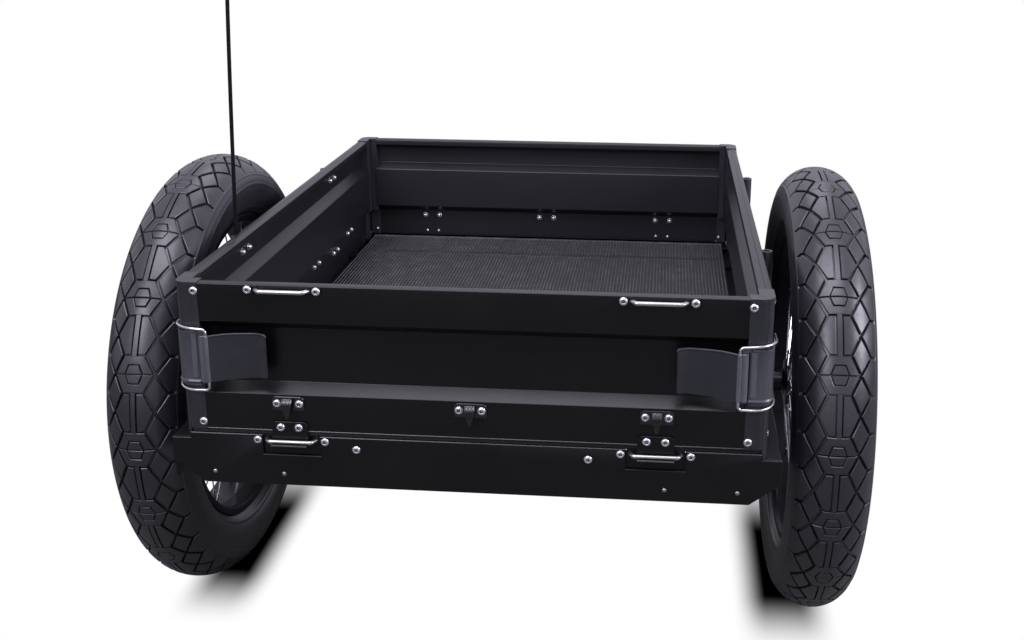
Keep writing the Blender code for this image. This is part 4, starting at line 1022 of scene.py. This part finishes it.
class TRAILER_OT_latches(bpy.types.Operator):
    """Latch levers and their wire bails"""

    bl_idname = "trailer.latches"
    bl_label = "Latches"

    def execute(self, context):
        radius = context.scene.trailer_metals.bail_radius
        for gate, _, end, word, side in CORNERS:
            name = f"{gate}_{word}"
            lever, bail = f"{name}_lever", f"{name}_bail"
            new_piece(lever, lever_shapes(side, end), "lever_paint", lever, f"{name}_latch_lever")
            new_piece(f"{name}_barrel", barrel_shapes(side, end), "satin_barrel", lever)
            new_piece(bail, [bail_shape(side, end, radius)], "bright_wire", bail, f"{name}_latch_bail")
        return {"FINISHED"}


class TRAILER_OT_bars(bpy.types.Operator):
    """Upper bars, hinge bars, hinge plates and lashing hooks"""

    bl_idname = "trailer.bars"
    bl_label = "Bars and hooks"

    def execute(self, context):
        radius = context.scene.trailer_metals.bar_radius
        for word, side in SIDES:
            x = side * HINGE_PLACE
            upper = bar_shape(x, UPPER_BAR_Z, UPPER_BAR_STANDOFF, 0, -0.0018, radius)
            new_piece(f"{word}_rim_bar", [upper], "brushed_bar", "tailgate", f"upper_bar_{word}")
            low, high = UPPER_BAR_Z - 0.004, UPPER_BAR_Z + 0.004
            pads = [prism(rectangle((x + near, low), (x + far, high), 0.002), "Y", -PAD_PROUD, -GAP)
                    for near, far in ((-0.0430, -0.0265), (0.0265, 0.0430))]
            new_piece(f"{word}_rim_bar_pads", pads, "frame_coat", "tailgate")
            for gate, place, end in ENDS:
                self.hinge(word, x, place, gate, end, radius)
        across = (1, 0, 0)
        for word, way in (("left", -1), ("middle", 0), ("right", 1)):
            x = way * HOOK_PLACE
            shapes = hook_shapes((x, 0, 0), out_of(0), across)
            new_piece(f"{word}_gate_hook", shapes, "hook_gloss", "tailgate", f"tie_hook_{word}")
            shapes = hook_shapes((x, BOX_LENGTH, 0), out_of(1), across)
            new_piece(f"{word}_front_hook", shapes, "hook_gloss", "front_gate")
        for word, side in SIDES:
            shapes = []
            for y in MIDDLE_Y + SIDE_HOOKS:
                place = (side * BOX_HALF_WIDTH, y, SIDE_HOOK_LIFT)
                shapes += hook_shapes(place, (side, 0, 0), (0, 1, 0))
            new_piece(f"{word}_side_hooks", shapes, "hook_gloss", "chassis")
        return {"FINISHED"}

    def hinge(self, word, x, place, gate, end, radius):
        """One hinge: the fixed bar with its backing plate, and the gate's plate round it."""
        fixed = bar_shape(x, HINGE_HEIGHT, HINGE_OFFSET, end, 0.0040, radius)
        new_piece(f"{place}_{word}_bar", [fixed], "brushed_bar", "chassis",
                  f"{place}_{word}_hinge_bar")
        corners = mm([(-45, 312.5), (45, 312.5), (45, 334.5), (31.8, 334.5), (31.8, 337.8),
                      (-31.8, 337.8), (-31.8, 334.5), (-45, 334.5)]) + (x, 0)
        backing = prism(rounded(corners, 0.0015), "Y", end_y(end, 0.0033), end_y(end, 0.0053))
        new_piece(f"{place}_{word}_bar_backing", [backing], "frame_coat", "chassis")
        new_piece(f"{gate}_{word}_hinge_plate", [hinge_shape(x, end)], "frame_coat", gate,
                  f"{gate}_{word}_hinge")


class TRAILER_OT_fasteners(bpy.types.Operator):
    """Button-head bolts outside, nuts on washers inside, and rivets on the beams"""

    bl_idname = "trailer.fasteners"
    bl_label = "Fasteners"

    def execute(self, context):
        radius = context.scene.trailer_metals.bolt_radius
        for gate, _, end in ENDS:
            self.gate_bolts(gate, end, radius)
        for _, place, end in ENDS:
            self.beam_bolts(place, end, radius)
        self.side_bolts(radius)
        return {"FINISHED"}

    def heads(self, name, places, facing, body, radius):
        """Bolt heads at their places, and a painted shadow in their sockets."""
        # Each head gets a black disc in its socket: a painted shadow.
        for word, shape, coat in (("bolts", button_bolt(radius), "bright_bolt"),
                                  ("sockets", socket_shadow(radius), "moulded_plastic")):
            new_piece(f"{name}_{word}", [stamped(shape, places, facing, BOLT_TURN)], coat, body)

    def gate_bolts(self, gate, end, radius):
        """Bolts through a gate's posts, hinge plates, hooks and bars. The hinges and posts have
        smaller nuts."""

        def at(xs, z, depth):
            return [(x, end_y(end, depth), z) for x in xs]

        high, low = POST_BOLT_HEIGHTS
        hinge_places = (-HINGE_PLACE, HINGE_PLACE)
        hinges = pairs(hinge_places, HINGE_SPREAD)
        hooks = pairs((-HOOK_PLACE, 0, HOOK_PLACE), HOOK_SPREAD)
        heads = at(POST_BOLTS, high, -POST_PROUD) + at(POST_BOLTS, low, -POST_PROUD)
        heads += at(hinges, HINGE_BOLT_Z, -PLATE_PROUD) + at(hooks, HOOK_BOLT_Z, -PLATE_PROUD)
        if end == 0:
            heads += at(pairs(hinge_places, 0.0378), UPPER_BAR_Z, -PAD_PROUD)
        self.heads(gate, heads, out_of(end), gate, radius)
        small = at(POST_BOLTS, low, POST_FOOT_DEPTH) + at(hinges, HINGE_BOLT_Z, SHEET)
        nuts = [stamped(cap_nut(NUT_RADIUS), at(hooks, HOOK_BOLT_Z, SHEET), -out_of(end)),
                stamped(cap_nut(SMALL_NUT_RADIUS), small, -out_of(end))]
        new_piece(f"{gate}_nuts", nuts, "bright_bolt", gate)

    def beam_bolts(self, place, end, radius):
        """Bolts beside the hinge notches and between them, and small rivets below."""
        y = end_y(end, 0)
        heads = [(x, y, 0.332) for x in pairs((-HINGE_PLACE, HINGE_PLACE), 0.0382)]
        heads += [(x, y, 0.324) for x in (-0.129, 0.129)]
        self.heads(f"{place}_beam", heads, out_of(end), "chassis", radius)
        rivet = hexed([(0, 2.4, 0), (0.4, 2.4, 0), (1, 1.8, 0), (1.3, 0.8, 0)], 0.001, 1)
        places = [(x, y, 0.291) for x in (-0.2925, -0.213, 0.213, 0.2925)]
        new_piece(f"{place}_beam_rivets", [stamped(rivet, places, out_of(end))], "hitch_steel",
                  "chassis")

    def side_bolts(self, radius):
        """Bolts through the side posts, the socket straps and the side hooks."""
        ends, hook_z = (0.0265, BOX_LENGTH - 0.0265), HOOK_BOLT_Z + SIDE_HOOK_LIFT
        through = [(pairs(SOCKET_PLACES, STRAP_SPREAD), z, STRAP_PROUD) for z in STRAP_HEIGHTS]
        through += [(pairs(MIDDLE_Y + SIDE_HOOKS, HOOK_SPREAD), hook_z, PLATE_PROUD)]
        blind = [(ends, z, POST_PROUD) for z in POST_BOLT_HEIGHTS]
        for word, side in SIDES:
            heads = [(side * (BOX_HALF_WIDTH + proud), y, z)
                     for ys, z, proud in through + blind for y in ys]
            backs = [(side * (BOX_HALF_WIDTH - SHEET), y, z) for ys, z, _ in through for y in ys]
            self.heads(f"{word}_side", heads, (side, 0, 0), "chassis", radius)
            nuts = stamped(cap_nut(NUT_RADIUS), backs, (-side, 0, 0))
            new_piece(f"{word}_side_nuts", [nuts], "bright_bolt", "chassis")


class TRAILER_OT_floor(bpy.types.Operator):
    """The floor's welded grid of flat strands inside a folded border"""

    bl_idname = "trailer.floor"
    bl_label = "Floor grid"

    def execute(self, context):
        floor = context.scene.trailer_floor
        half, start, stop = FLOOR_HALF_WIDTH, FLOOR_EDGE, BOX_LENGTH - FLOOR_EDGE
        inner, outer = start + FLOOR_BORDER, stop - FLOOR_BORDER
        count = round(2 * half / floor.pitch)
        xs = np.linspace(-half, half, 2 * count + 1)[1::2]
        count = round((outer - inner) / (floor.pitch * 2 / 3))
        ys = np.linspace(inner, outer, count + 1)[1:-1]
        edges = np.array((start, stop)) + (FLOOR_BORDER / 2, -FLOOR_BORDER / 2)
        drop, low_drop = 0.0001, 0.0007
        grid = [self.strands(xs, floor.strand, start + 0.002, stop - 0.002, 0, "Y"),
                self.strands(edges, FLOOR_BORDER, -half, half, drop, "X")]
        new_piece("floor_grid", grid, "grid_coat", "chassis", "floor_mesh")
        strip = self.strands(np.array([FLOOR_STRIP]), 0.0165, -half, half, drop, "X")
        new_piece("floor_grid_strip", [strip], "satin_post", "chassis")
        wires = self.strands(ys, 1.15 * floor.strand, -half, half, low_drop, "X")
        new_piece("floor_grid_wires", [wires], "frame_coat", "chassis")
        seal = mm([(0.3, 338.1), (5.6, 338.1), (5.6, 342.8), (1.8, 342.8), (0.3, 339.6)])
        lip = mm([(2.4, 338.1), (5.6, 338.1), (5.6, 343.8), (2.4, 345)])
        for _, place, end in ENDS:
            shapes = [self.sill(seal, end, 0.0006, 0.3143), self.sill(lip, end, 0.0003, 0.2962)]
            new_piece(f"{place}_gate_seal", shapes, "moulded_plastic", "chassis")
        return {"FINISHED"}

    def sill(self, section, end, radius, half):
        """A seal's section of (depth, z) points carried across an end of the box."""
        section = np.stack([end_y(end, section[:, 0]), section[:, 1]], 1)
        return prism(rounded(section, radius, 3), "X", -half, half)

    def strands(self, places, width, start, stop, drop, axis):
        """Flat strands at the places given, each a strap with cut corners carried straight from
        start to stop along an axis, its top a drop below the floor's."""
        along, across = ((1, 0, 0), (0, 1, 0)) if axis == "X" else ((0, 1, 0), (1, 0, 0))
        top = FLOOR_TOP - drop
        path = np.outer((start, stop), along) + (0, 0, (FLOOR_LOW + top) / 2)
        points, faces = strap(path, across, -width / 2, width / 2, top - FLOOR_LOW, 0.00035)
        points = np.multiply.outer(places, across)[:, None] + points
        return points.reshape(-1, 3), repeated(faces, len(places), points.shape[1])


class TRAILER_OT_chassis(bpy.types.Operator):
    """Beams, rails, axle, drawbar and hitch, their edges eased"""

    bl_idname = "trailer.chassis"
    bl_label = "Chassis"

    def execute(self, context):
        edge = context.scene.trailer_sheets.edge
        for coat, width, nodes in (
                ("frame_coat", edge * 3, "rear_crossbeam front_crossbeam left_side_rail right_side_rail"),
                ("frame_coat", edge, "axle_beam drawbar_receiver drawbar leg_bracket parking_leg"),
                ("frame_coat", edge, "floor_rail"),
                ("hitch_steel", edge, "hitch_swivel hitch_coupler lock_pin"),
                ("moulded_plastic", edge * 3, "leg_foot")):
            for node in nodes.split():
                softened(node, coat, width)
        return {"FINISHED"}


def pole_x(z):
    """The pole bends a little towards the trailer's middle above its socket."""
    rise = np.maximum(z - RIM_TOP, 0)
    return -SOCKET_X + 0.026 * rise + 0.030 * rise * rise


def pole_path(low, high, count):
    """Points along the middle of the pole."""
    z = np.linspace(low, high, count)
    return np.stack([pole_x(z), z * 0 + SOCKET_PLACES[0], z], 1)


class TRAILER_OT_sockets(bpy.types.Operator):
    """Stake sockets, and the whip pole with its tip"""

    bl_idname = "trailer.sockets"
    bl_label = "Sockets and pole"

    def execute(self, context):
        for word, side in SIDES:
            for (_, place, _), y in zip(ENDS, SOCKET_PLACES):
                new_piece(f"{word}_{place}_socket", self.socket(side, y), "satin_post", "chassis",
                          f"{word}_{place}_stake_socket")
        pole = pole_path(SOCKET_LOW + 0.006, POLE_TOP, 60)
        tip = rod(pole[-1] - (0.0006, 0, 0.014), pole[-1] + (0, 0, 0.0005), 0.0040)
        new_piece("whip_pole", [tube(pole, POLE_RADIUS, 14), tip], "moulded_plastic", "flag_pole",
                  "flag_pole")
        return {"FINISHED"}

    def socket(self, side, y):
        """A tube open at the top on two formed straps, its mouth rounded to a ring."""
        outer, bore, drain, floor = 0.0072, 0.0039, 0.0005, SOCKET_LOW + 0.005
        profile = [(outer, SOCKET_LOW), (outer, SOCKET_HIGH), (bore, SOCKET_HIGH), (bore, floor),
                   (drain, floor), (drain, SOCKET_LOW)]
        shapes = [turned(rounded(profile, 0.0007, 3), 40, (side * SOCKET_X, y, 0), (0, 0, 1))]
        near, far = side * (BOX_HALF_WIDTH + GAP), side * (BOX_HALF_WIDTH + STRAP_PROUD)
        for z in STRAP_HEIGHTS:
            outline = rectangle((y - STRAP_HALF, z - 0.008), (y + STRAP_HALF, z + 0.008), 0.003)
            shapes.append(prism(outline, "X", near, far))
        return shapes


def flag_point(s, t):
    """The pennant at s along the fly and t down the hoist: it tapers, sags by its own weight and
    waves sideways more and more towards its point, with a finer ripple along its lower edge."""
    half = FLAG_HOIST / 2 * (1 - FLAG_TAPER * s)
    z = FLAG_MIDDLE + (1 - 2 * t) * half - 0.085 * s ** 1.4
    wave = 0.024 * s * np.sin(2 * math.pi * 1.25 * s + 0.6 * t)
    ripple = 0.0025 * s * t * np.sin(2 * math.pi * 4 * s + 2 * t)
    y = SOCKET_PLACES[0] - 0.0044 - FLAG_FLY * s
    return np.stack([pole_x(FLAG_MIDDLE) + wave + ripple, y, z], -1)


class TRAILER_OT_pennant(bpy.types.Operator):
    """The pennant's cloth, hem and sleeve"""

    bl_idname = "trailer.pennant"
    bl_label = "Pennant"

    def execute(self, context):
        hem = context.scene.trailer_flag.hem
        columns, rows = 90, 40
        s, t = np.meshgrid(np.linspace(0, 1, columns), np.linspace(0, 1, rows), indexing="ij")
        weave = (flag_point(s, t).reshape(-1, 3), [grid_quads(columns, rows, columns_wrap=False)])
        cloth = self.sewn("pennant", [weave], "flag")
        skin = cloth.modifiers.new("thickness", "SOLIDIFY")
        skin.thickness = 0.0006
        skin.offset = 0
        edge = self.sewn("pennant_hem", [self.hem_shape(0, hem), self.hem_shape(1, hem)])
        path = pole_path(FLAG_MIDDLE - 0.098, FLAG_MIDDLE + 0.098, 30)
        sleeve = [(path, 0.0034), (path[:3], 0.0042), (path[-4:-1], 0.0042)]
        shapes = [tube(part, radius, 20, domed=False) for part, radius in sleeve]
        new_piece("pennant_sleeve", shapes, "moulded_plastic", "flag_pole")
        return {"FINISHED"}

    def sewn(self, name, shapes, node=""):
        """A piece of the cloth, its UVs in metres along the fly and up the hoist."""
        piece = new_piece(name, shapes, "pennant_cloth", "flag_pole", node)
        loops = np.zeros(len(piece.data.loops), int)
        piece.data.loops.foreach_get("vertex_index", loops)
        uv = joined(shapes)[0][loops][:, 1:3]
        layer = piece.data.uv_layers.new(name="UVMap")
        layer.data.foreach_set("uv", uv.astype(np.float32).ravel())
        return piece

    def hem_shape(self, t, width):
        """A turned hem along the upper (t = 0) or lower (t = 1) edge: a flat strip whose middle
        follows the cloth a half width in."""
        s = np.linspace(0.01, 0.97, 80)
        edge, inner = flag_point(s, s * 0 + t), flag_point(s, s * 0 + 0.5)
        into = unit(inner - edge)
        half = np.minimum(width, 0.8 * np.linalg.norm(inner - edge, axis=1))[:, None] / 2
        path = edge + into * half
        normal = unit(np.cross(unit(np.gradient(path, axis=0)), into))
        ways = np.array(((-1, -1), (1, -1), (1, 1), (-1, 1)))
        aside, out = (into * half)[:, None] * ways[:, :1], normal[:, None] * 0.0008 * ways[:, 1:]
        return capped(path[:, None] + aside + out)


def on_tyre(turn, across, height, side):
    """A point on the tyre: turn about the axle from the rear, in radians, across from the crown
    along the section's ellipse, and height out along the ellipse's normal."""
    steps = np.radians(np.linspace(0, 150, 600))
    section = np.stack([TYRE_HALF_WIDTH * np.sin(steps), TYRE_HALF_HEIGHT * np.cos(steps)], 1)
    angle = np.interp(np.abs(across), travelled(section), steps) * np.sign(across)
    out = unit(np.stack([np.cos(angle) / TYRE_HALF_HEIGHT, np.sin(angle) / TYRE_HALF_WIDTH], -1))
    radius = TYRE_MIDDLE + TYRE_HALF_HEIGHT * np.cos(angle) + height * out[..., 0]
    x = side * (TRACK_HALF + TYRE_HALF_WIDTH * np.sin(angle) + height * out[..., 1])
    return np.stack([x, WHEEL_Y - radius * np.cos(turn), WHEEL_RADIUS + radius * np.sin(turn)], -1)


def inset(polygon, distances):
    """A polygon with each edge moved inwards by its own distance: each corner solves for the
    point at both neighbouring edges' distances."""
    along = unit(np.roll(polygon, -1, 0) - polygon)
    inwards = np.stack([-along[:, 1], along[:, 0]], 1)
    pairs_of_edges = np.stack([np.roll(inwards, 1, 0), inwards], 1)
    wanted = np.stack([np.roll(distances, 1), distances], 1)
    return polygon + np.linalg.solve(pairs_of_edges, wanted[..., None])[..., 0]


def tread_blocks(groove, sipe):
    """One pitch of the tread, as (corners in (along, across), gap at each edge). Zero gaps join
    neighbours into one block."""
    p, g, f = TREAD_PITCH, groove / 2, sipe / 2
    short, core_end, bar = 0.245 * p, 0.122 * p, 0.00265
    vertex, corner, node, shoulder, core, flat = mm((25.3, 13.4, 41, 51.5, 10.6, 6.2))
    thin, slit = 0.0009, 0.0016
    cell = [
        ([(0, core), (0, vertex), (short, corner), (core_end, flat)], [f, g, 0, f]),
        ([(core_end, flat), (short, corner), (short, -corner), (core_end, -flat)], [0, thin, 0, f]),
        ([(core_end, -flat), (short, -corner), (0, -vertex), (0, -core)], [0, g, f, f]),
        ([(0, -core), (core_end, -flat), (core_end, flat), (0, core)], [f, f, f, f]),
    ]
    flank = [
        ([(short, bar), (short, corner), (p / 2, vertex), (p - short, corner), (p - short, bar)],
         [thin, g, g, thin, slit]),
        ([(0, vertex), (short, corner), (p / 2, vertex), (p / 4, node)], [g, g, g, g]),
        ([(p, vertex), (p - short, corner), (p / 2, vertex), (3 * p / 4, node)], [g, g, g, g]),
    ]
    for middle in (p / 2, 0):
        near, far = middle - p / 4, middle + p / 4
        flank.append(([(middle, vertex), (near, node), (near, shoulder), (far, shoulder), (far, node)],
                      [g, g, 0, g, g]))
    low, high = short - thin - 0.0003, p - short + thin + 0.0003
    blocks = [([(low, -bar), (low, bar), (high, bar), (high, -bar)], [0, 0, 0, 0])]
    for way in (-1, 1):
        blocks += [([(way * a, s) for a, s in corners], gaps) for corners, gaps in cell]
        blocks += [([(a, way * s) for a, s in corners], gaps) for corners, gaps in flank]
    return blocks


def block_shape(corners, gaps, depth, side, phase):
    """One block at all its places round the tyre: rings of its outline, from its foot under the
    groove floor up its wall, over a chamfer and inwards, each ring point mapped to the tyre."""
    corners, gaps = np.array(corners), np.array(gaps, float)
    following = np.roll(corners, -1, 0)
    if np.sum(corners[:, 0] * following[:, 1] - corners[:, 1] * following[:, 0]) < 0:
        corners, gaps = corners[::-1], np.roll(gaps[::-1], -1)
    base = inset(corners, gaps)
    sides = np.linalg.norm(np.roll(base, -1, 0) - base, axis=1)
    counts = np.maximum(np.ceil(sides / 0.0055), 1).astype(int)
    edge = np.repeat(np.arange(len(base)), counts)
    share = np.concatenate([np.arange(count) / count for count in counts])[:, None]

    def outline(spread):
        points = inset(corners, gaps + spread * (gaps > 0))
        return points[edge] * (1 - share) + np.roll(points, -1, 0)[edge] * share

    top = outline(0.0007)
    centre = top.mean(0)
    rings = [outline(-0.0003), outline(0), top]
    rings = np.stack(rings + [centre + (top - centre) * part for part in (0.72, 0.44, 0.18)])
    heights = np.array((-depth - 0.0004, -0.0006, 0, 0, 0, 0))[:, None]
    places = np.arange(TREAD_PITCHES)[:, None, None]
    turns = phase + 2 * math.pi / TREAD_PITCHES * (places + rings[..., 0] / TREAD_PITCH)
    across, heights = (np.broadcast_to(part, turns.shape) for part in (rings[..., 1], heights))
    return capped(on_tyre(turns, across, heights, side))


class TRAILER_OT_tyres(bpy.types.Operator):
    """Tyre casings and their tread blocks"""

    bl_idname = "trailer.tyres"
    bl_label = "Tyres"

    def execute(self, context):
        wheels = context.scene.trailer_wheels
        depth = wheels.groove_depth
        for (word, side), phase in zip(SIDES, (0.3, 5.8)):
            body = f"{word}_wheel"
            new_piece(f"{word}_tyre_casing", [self.casing(depth, side)], "soft_rubber", body,
                      f"{word}_tyre", smooth=40)
            shapes = [block_shape(*block, depth, side, math.radians(phase))
                      for block in tread_blocks(wheels.groove, wheels.sipe)]
            new_piece(f"{word}_tyre_tread", shapes, "soft_rubber", body, smooth=28)
        return {"FINISHED"}

    def casing(self, depth, side):
        """The casing's closed section turned about the axle. Outside, as (across from the crown,
        height), it has the groove floor under the tread, a step up at the shoulder, and side walls
        with a moulded line and a bead ring. It goes back along an even wall."""
        half = mm([(0, 0), (49.5, 0), (51.2, -0.6), (52.2, 0), (54, 0.3), (55.6, 0), (66, 0),
                   (67.2, 0.2), (69, 0.2), (70.2, 0), (80, 0), (90, 0), (98.5, 0), (100.2, 0.8),
                   (103, 0.9), (105, 0.2), (112, 0), (119.5, 0)])
        half[:2, 1] = -depth
        steps = np.arange(len(half))
        out = np.interp(np.linspace(0, steps[-1], 86), steps, half[:, 0])
        rise = np.interp(out, half[:, 0], half[:, 1])
        inner = np.linspace(0.1185, -0.1185, 60)
        across = np.concatenate([-out[:0:-1], out, inner])
        height = np.concatenate([rise[:0:-1], rise, inner * 0 - 0.0055])
        turns, across, height = np.broadcast_arrays(angles(200)[:, None], across, height)
        return hoop(on_tyre(turns, across, height, side))


class TRAILER_OT_wheels(bpy.types.Operator):
    """Rims, hubs, laced spokes with nipples, and valves"""

    bl_idname = "trailer.wheels"
    bl_label = "Wheels"

    def execute(self, context):
        count = context.scene.trailer_wheels.spokes
        for word, side in SIDES:
            centre, axis, body = (side * TRACK_HALF, WHEEL_Y, WHEEL_RADIUS), (side, 0, 0), f"{word}_wheel"
            new_piece(f"{word}_rim_hoop", [turned(self.rim(), 160, centre, axis)], "rim_gloss", body,
                      f"{word}_rim", smooth=50)
            new_piece(f"{word}_hub_shell", [turned(self.hub(), 64, centre, axis)], "hub_anodised", body,
                      f"{word}_hub", smooth=40)
            shafts, nipples = self.spokes(count, centre, side)
            new_piece(f"{word}_spokes", [shafts], "spoke_steel", body)
            new_piece(f"{word}_nipples", [nipples], "spoke_steel", body)
            reach = np.outer((0.1965, 0.1745, 0.1765, 0.1655), (0, 1, 0))
            foot, stem, cap, tip = np.array(centre) + reach
            shapes = [rod(foot, stem, 0.0028), rod(cap, tip, 0.0038)]
            new_piece(f"{word}_valve", shapes, "moulded_plastic", body)
        return {"FINISHED"}

    def rim(self):
        """A wide rim: rolled bead flanges, a bed with a drop centre, and an inner wall."""
        outside = mm([(209, 33.8), (209, 31.2), (203.5, 30), (199, 11)])
        inside = mm([(195, 11), (197.5, 28), (200.5, 33.8)])
        other = (1, -1)
        return rounded(np.concatenate([outside, outside[::-1] * other, inside[::-1] * other, inside]),
                       0.0012)

    def hub(self):
        """A hub shell with two spoke flanges and a through bore, longer on its inner side."""
        half = mm([(13, 36), (19, 33), (31, 31.5), (31, 26.5), (19, 25), (16.5, 18)])
        ends, bore = mm([(13, 40), (13, -59)]), mm([(6.5, -59), (6.5, 40)])
        body = [ends[:1], half, half[::-1] * (1, -1), ends[1:], bore]
        return rounded(np.concatenate(body), 0.0010, 3)

    def spokes(self, count, centre, side):
        """Every spoke as a straight rod from a flange to the rim, leading and trailing in turn:
        point = centre + height axis + radius (cos a, sin a), with a nipple at the rim."""
        i = np.tile(np.arange(count), 2)
        flange = np.repeat((-1, 1), count)
        lean = np.where(i % 2, 1, -1)
        rim_angle = 2 * math.pi * (i + 0.5 + 0.25 * flange) / count
        height = FLANGE_HEIGHT + lean * 0.0013

        def place(radius, angle, height):
            around = np.stack([side * height, radius * np.cos(angle), radius * np.sin(angle)], 1)
            return np.asarray(centre) + around

        start = place(FLANGE_HOLES, rim_angle + lean * math.radians(55), flange * height)
        stop = place(RIM_HOLES, rim_angle, flange * (height - 0.020))
        ahead = unit(stop - start)
        return (self.rods(start, stop, 0.00105),
                self.rods(stop - ahead * 0.013, stop + ahead * 0.001, 0.0019))

    def rods(self, starts, stops, radius):
        """Many straight eight-sided rods at once, from each start to its stop."""
        along = unit(stops - starts)
        p = unit(np.cross(along, (1.0, 0.03, 0.02)))[:, None, None]
        q = np.cross(along[:, None, None], p)
        a = angles(8)[:, None]
        ends = np.stack([starts, stops], 1)[:, :, None]
        return capped(ends + radius * (np.cos(a) * p + np.sin(a) * q))


class TRAILER_OT_stage(bpy.types.Operator):
    """Floor, lamps, room light and camera"""

    bl_idname = "trailer.stage"
    bl_label = "Stage"

    def execute(self, context):
        stage = context.scene.trailer_stage
        self.floor(context.scene)
        self.room(context.scene, stage.ambient)
        for name, place, size, energy in (
                ("above", (-0.15, -1.20, 3.08), (2.6, 1.4), stage.above),
                ("left", (-1.04, -2.53, 2.02), (1.2, 1.2), stage.left),
                ("right", (2.63, -1.00, 1.57), (1.2, 1.2), stage.right),
                ("ahead", (0, 1.3, 2.8), (1.6, 1.6), stage.ahead)):
            self.softbox(context.scene, f"{name}_softbox", place, size, energy)
        self.camera(context.scene)
        context.scene.view_settings.view_transform = "Standard"
        return {"FINISHED"}

    def floor(self, scene):
        """A wide pale floor that shows white to the camera, with a painted shadow where each tyre stands.
        """
        mesh = bpy.data.meshes.new("studio_floor")
        reach = 30.0
        corners = [(-reach, -reach, 0), (reach, -reach, 0), (reach, reach, 0), (-reach, reach, 0)]
        mesh.from_pydata(corners, [], [(0, 1, 2, 3)])
        mesh.materials.append(self.floor_material())
        floor = bpy.data.objects.new("studio_floor", mesh)
        scene.collection.objects.link(floor)

    def floor_material(self):
        """White to the camera but for a soft oblong shade where each tyre stands, the product of
        two eased ramps across the track and two along the wheel, and grey to the light that it
        sends back up."""
        made = Finish("studio_floor", "", (0.20, 0.20, 0.20), 0.9, specular_ior_level=0.0)
        x, y, _ = made.parts(made.place)
        across, along = abs(x) - TRACK_HALF, y - (WHEEL_Y - ORIGIN_Y)
        # Painted shadow: the camera's glow darkens at each tyre by ramps on the floor's place, not by the
        # lamps.
        dark = made.ramp(across + x * 0.015, -0.090, -0.042, "SMOOTHSTEP")
        for value, low, high in ((across, 0.045, -0.005), (along, -0.20, -0.06), (along, 0.31, 0.11)):
            dark = dark * made.ramp(value, low, high, "SMOOTHSTEP")
        glow = made.node("ShaderNodeEmission", inputs={"Color": made.mix(dark, (1, 1, 1), (0, 0, 0))})
        camera, glossy, through = made.rays()
        lit = Number(made.tree, made.shader.outputs[0])
        inputs = {0: camera + glossy * 0.04 + through, 1: lit, 2: glow}
        mixed = made.node("ShaderNodeMixShader", inputs=inputs)
        feed(made.tree, made.tree.nodes["Material Output"].inputs["Surface"], mixed)
        return made.material

    def room(self, scene, ambient):
        """The room: white to the camera, to metal and through glass, and dimmer as a lamp."""
        world = bpy.data.worlds.new("studio_room")
        scene.world = world
        world.use_nodes = True
        made = Nodes(world.node_tree)
        camera, glossy, through = made.rays()
        seen = camera + glossy * 0.75 + through
        tint = made.mix(camera + through, (0.93, 0.92, 1.08), (1, 1, 1))
        sockets = made.tree.nodes["Background"].inputs
        feed(made.tree, sockets["Strength"], seen * (1 - ambient) + ambient)
        feed(made.tree, sockets["Color"], tint)

    def softbox(self, scene, name, place, size, energy):
        """A rectangular lamp with its -Z towards the middle of the trailer."""
        light = bpy.data.lights.new(name, "AREA")
        light.shape = "RECTANGLE"
        light.size, light.size_y = size
        light.energy = energy
        light.color = (0.97, 0.94, 1.08)
        lamp = bpy.data.objects.new(name, light)
        scene.collection.objects.link(lamp)
        away = unit(np.subtract(place, (0, -0.3, 0.3)))
        lamp.location = place
        lamp.rotation_euler = (math.acos(away[2]), 0, math.atan2(away[0], -away[1]))

    def camera(self, scene):
        """The camera behind the tailgate's right half, looking down into the box."""
        lens = bpy.data.cameras.new("view")
        lens.sensor_width = 36
        lens.lens = 42.10
        lens.shift_x, lens.shift_y = -0.0525, -0.0783
        camera = bpy.data.objects.new("view", lens)
        scene.collection.objects.link(camera)
        camera.location = (0.20316, -1.19443 - ORIGIN_Y, 0.91058)
        camera.rotation_euler = np.radians((74.280, -0.245, 4.838))
        scene.camera = camera


class TRAILER_PT_panel(bpy.types.Panel):
    """Lists the trailer's groups of pieces and their settings"""

    bl_label = "Cargo Trailer"
    bl_idname = "TRAILER_PT_panel"
    bl_space_type = "VIEW_3D"
    bl_region_type = "UI"
    bl_category = "Trailer"

    def draw(self, context):
        for operator in OPERATORS:
            self.layout.operator(operator.bl_idname)
        for name in SETTINGS:
            group = getattr(context.scene, name)
            for prop in group.__annotations__:
                self.layout.prop(group, prop)


SETTINGS = {
    "trailer_sheets": SheetSettings,
    "trailer_metals": MetalSettings,
    "trailer_wheels": WheelSettings,
    "trailer_floor": FloorSettings,
    "trailer_flag": FlagSettings,
    "trailer_stage": StageSettings,
}
OPERATORS = (
    TRAILER_OT_stage, TRAILER_OT_panels, TRAILER_OT_posts, TRAILER_OT_latches, TRAILER_OT_bars,
    TRAILER_OT_fasteners, TRAILER_OT_floor, TRAILER_OT_chassis, TRAILER_OT_sockets,
    TRAILER_OT_pennant, TRAILER_OT_tyres, TRAILER_OT_wheels,
)


def register():
    for name, group in SETTINGS.items():
        bpy.utils.register_class(group)
        setattr(bpy.types.Scene, name, PointerProperty(type=group))
    for kind in (*OPERATORS, TRAILER_PT_panel):
        bpy.utils.register_class(kind)


def unregister():
    for kind in (TRAILER_PT_panel, *reversed(OPERATORS)):
        bpy.utils.unregister_class(kind)
    for name, group in SETTINGS.items():
        delattr(bpy.types.Scene, name)
        bpy.utils.unregister_class(group)


def main():
    register()
    for operator in OPERATORS:
        group, name = operator.bl_idname.split(".")
        getattr(getattr(bpy.ops, group), name)()


if __name__ == "__main__":
    main()
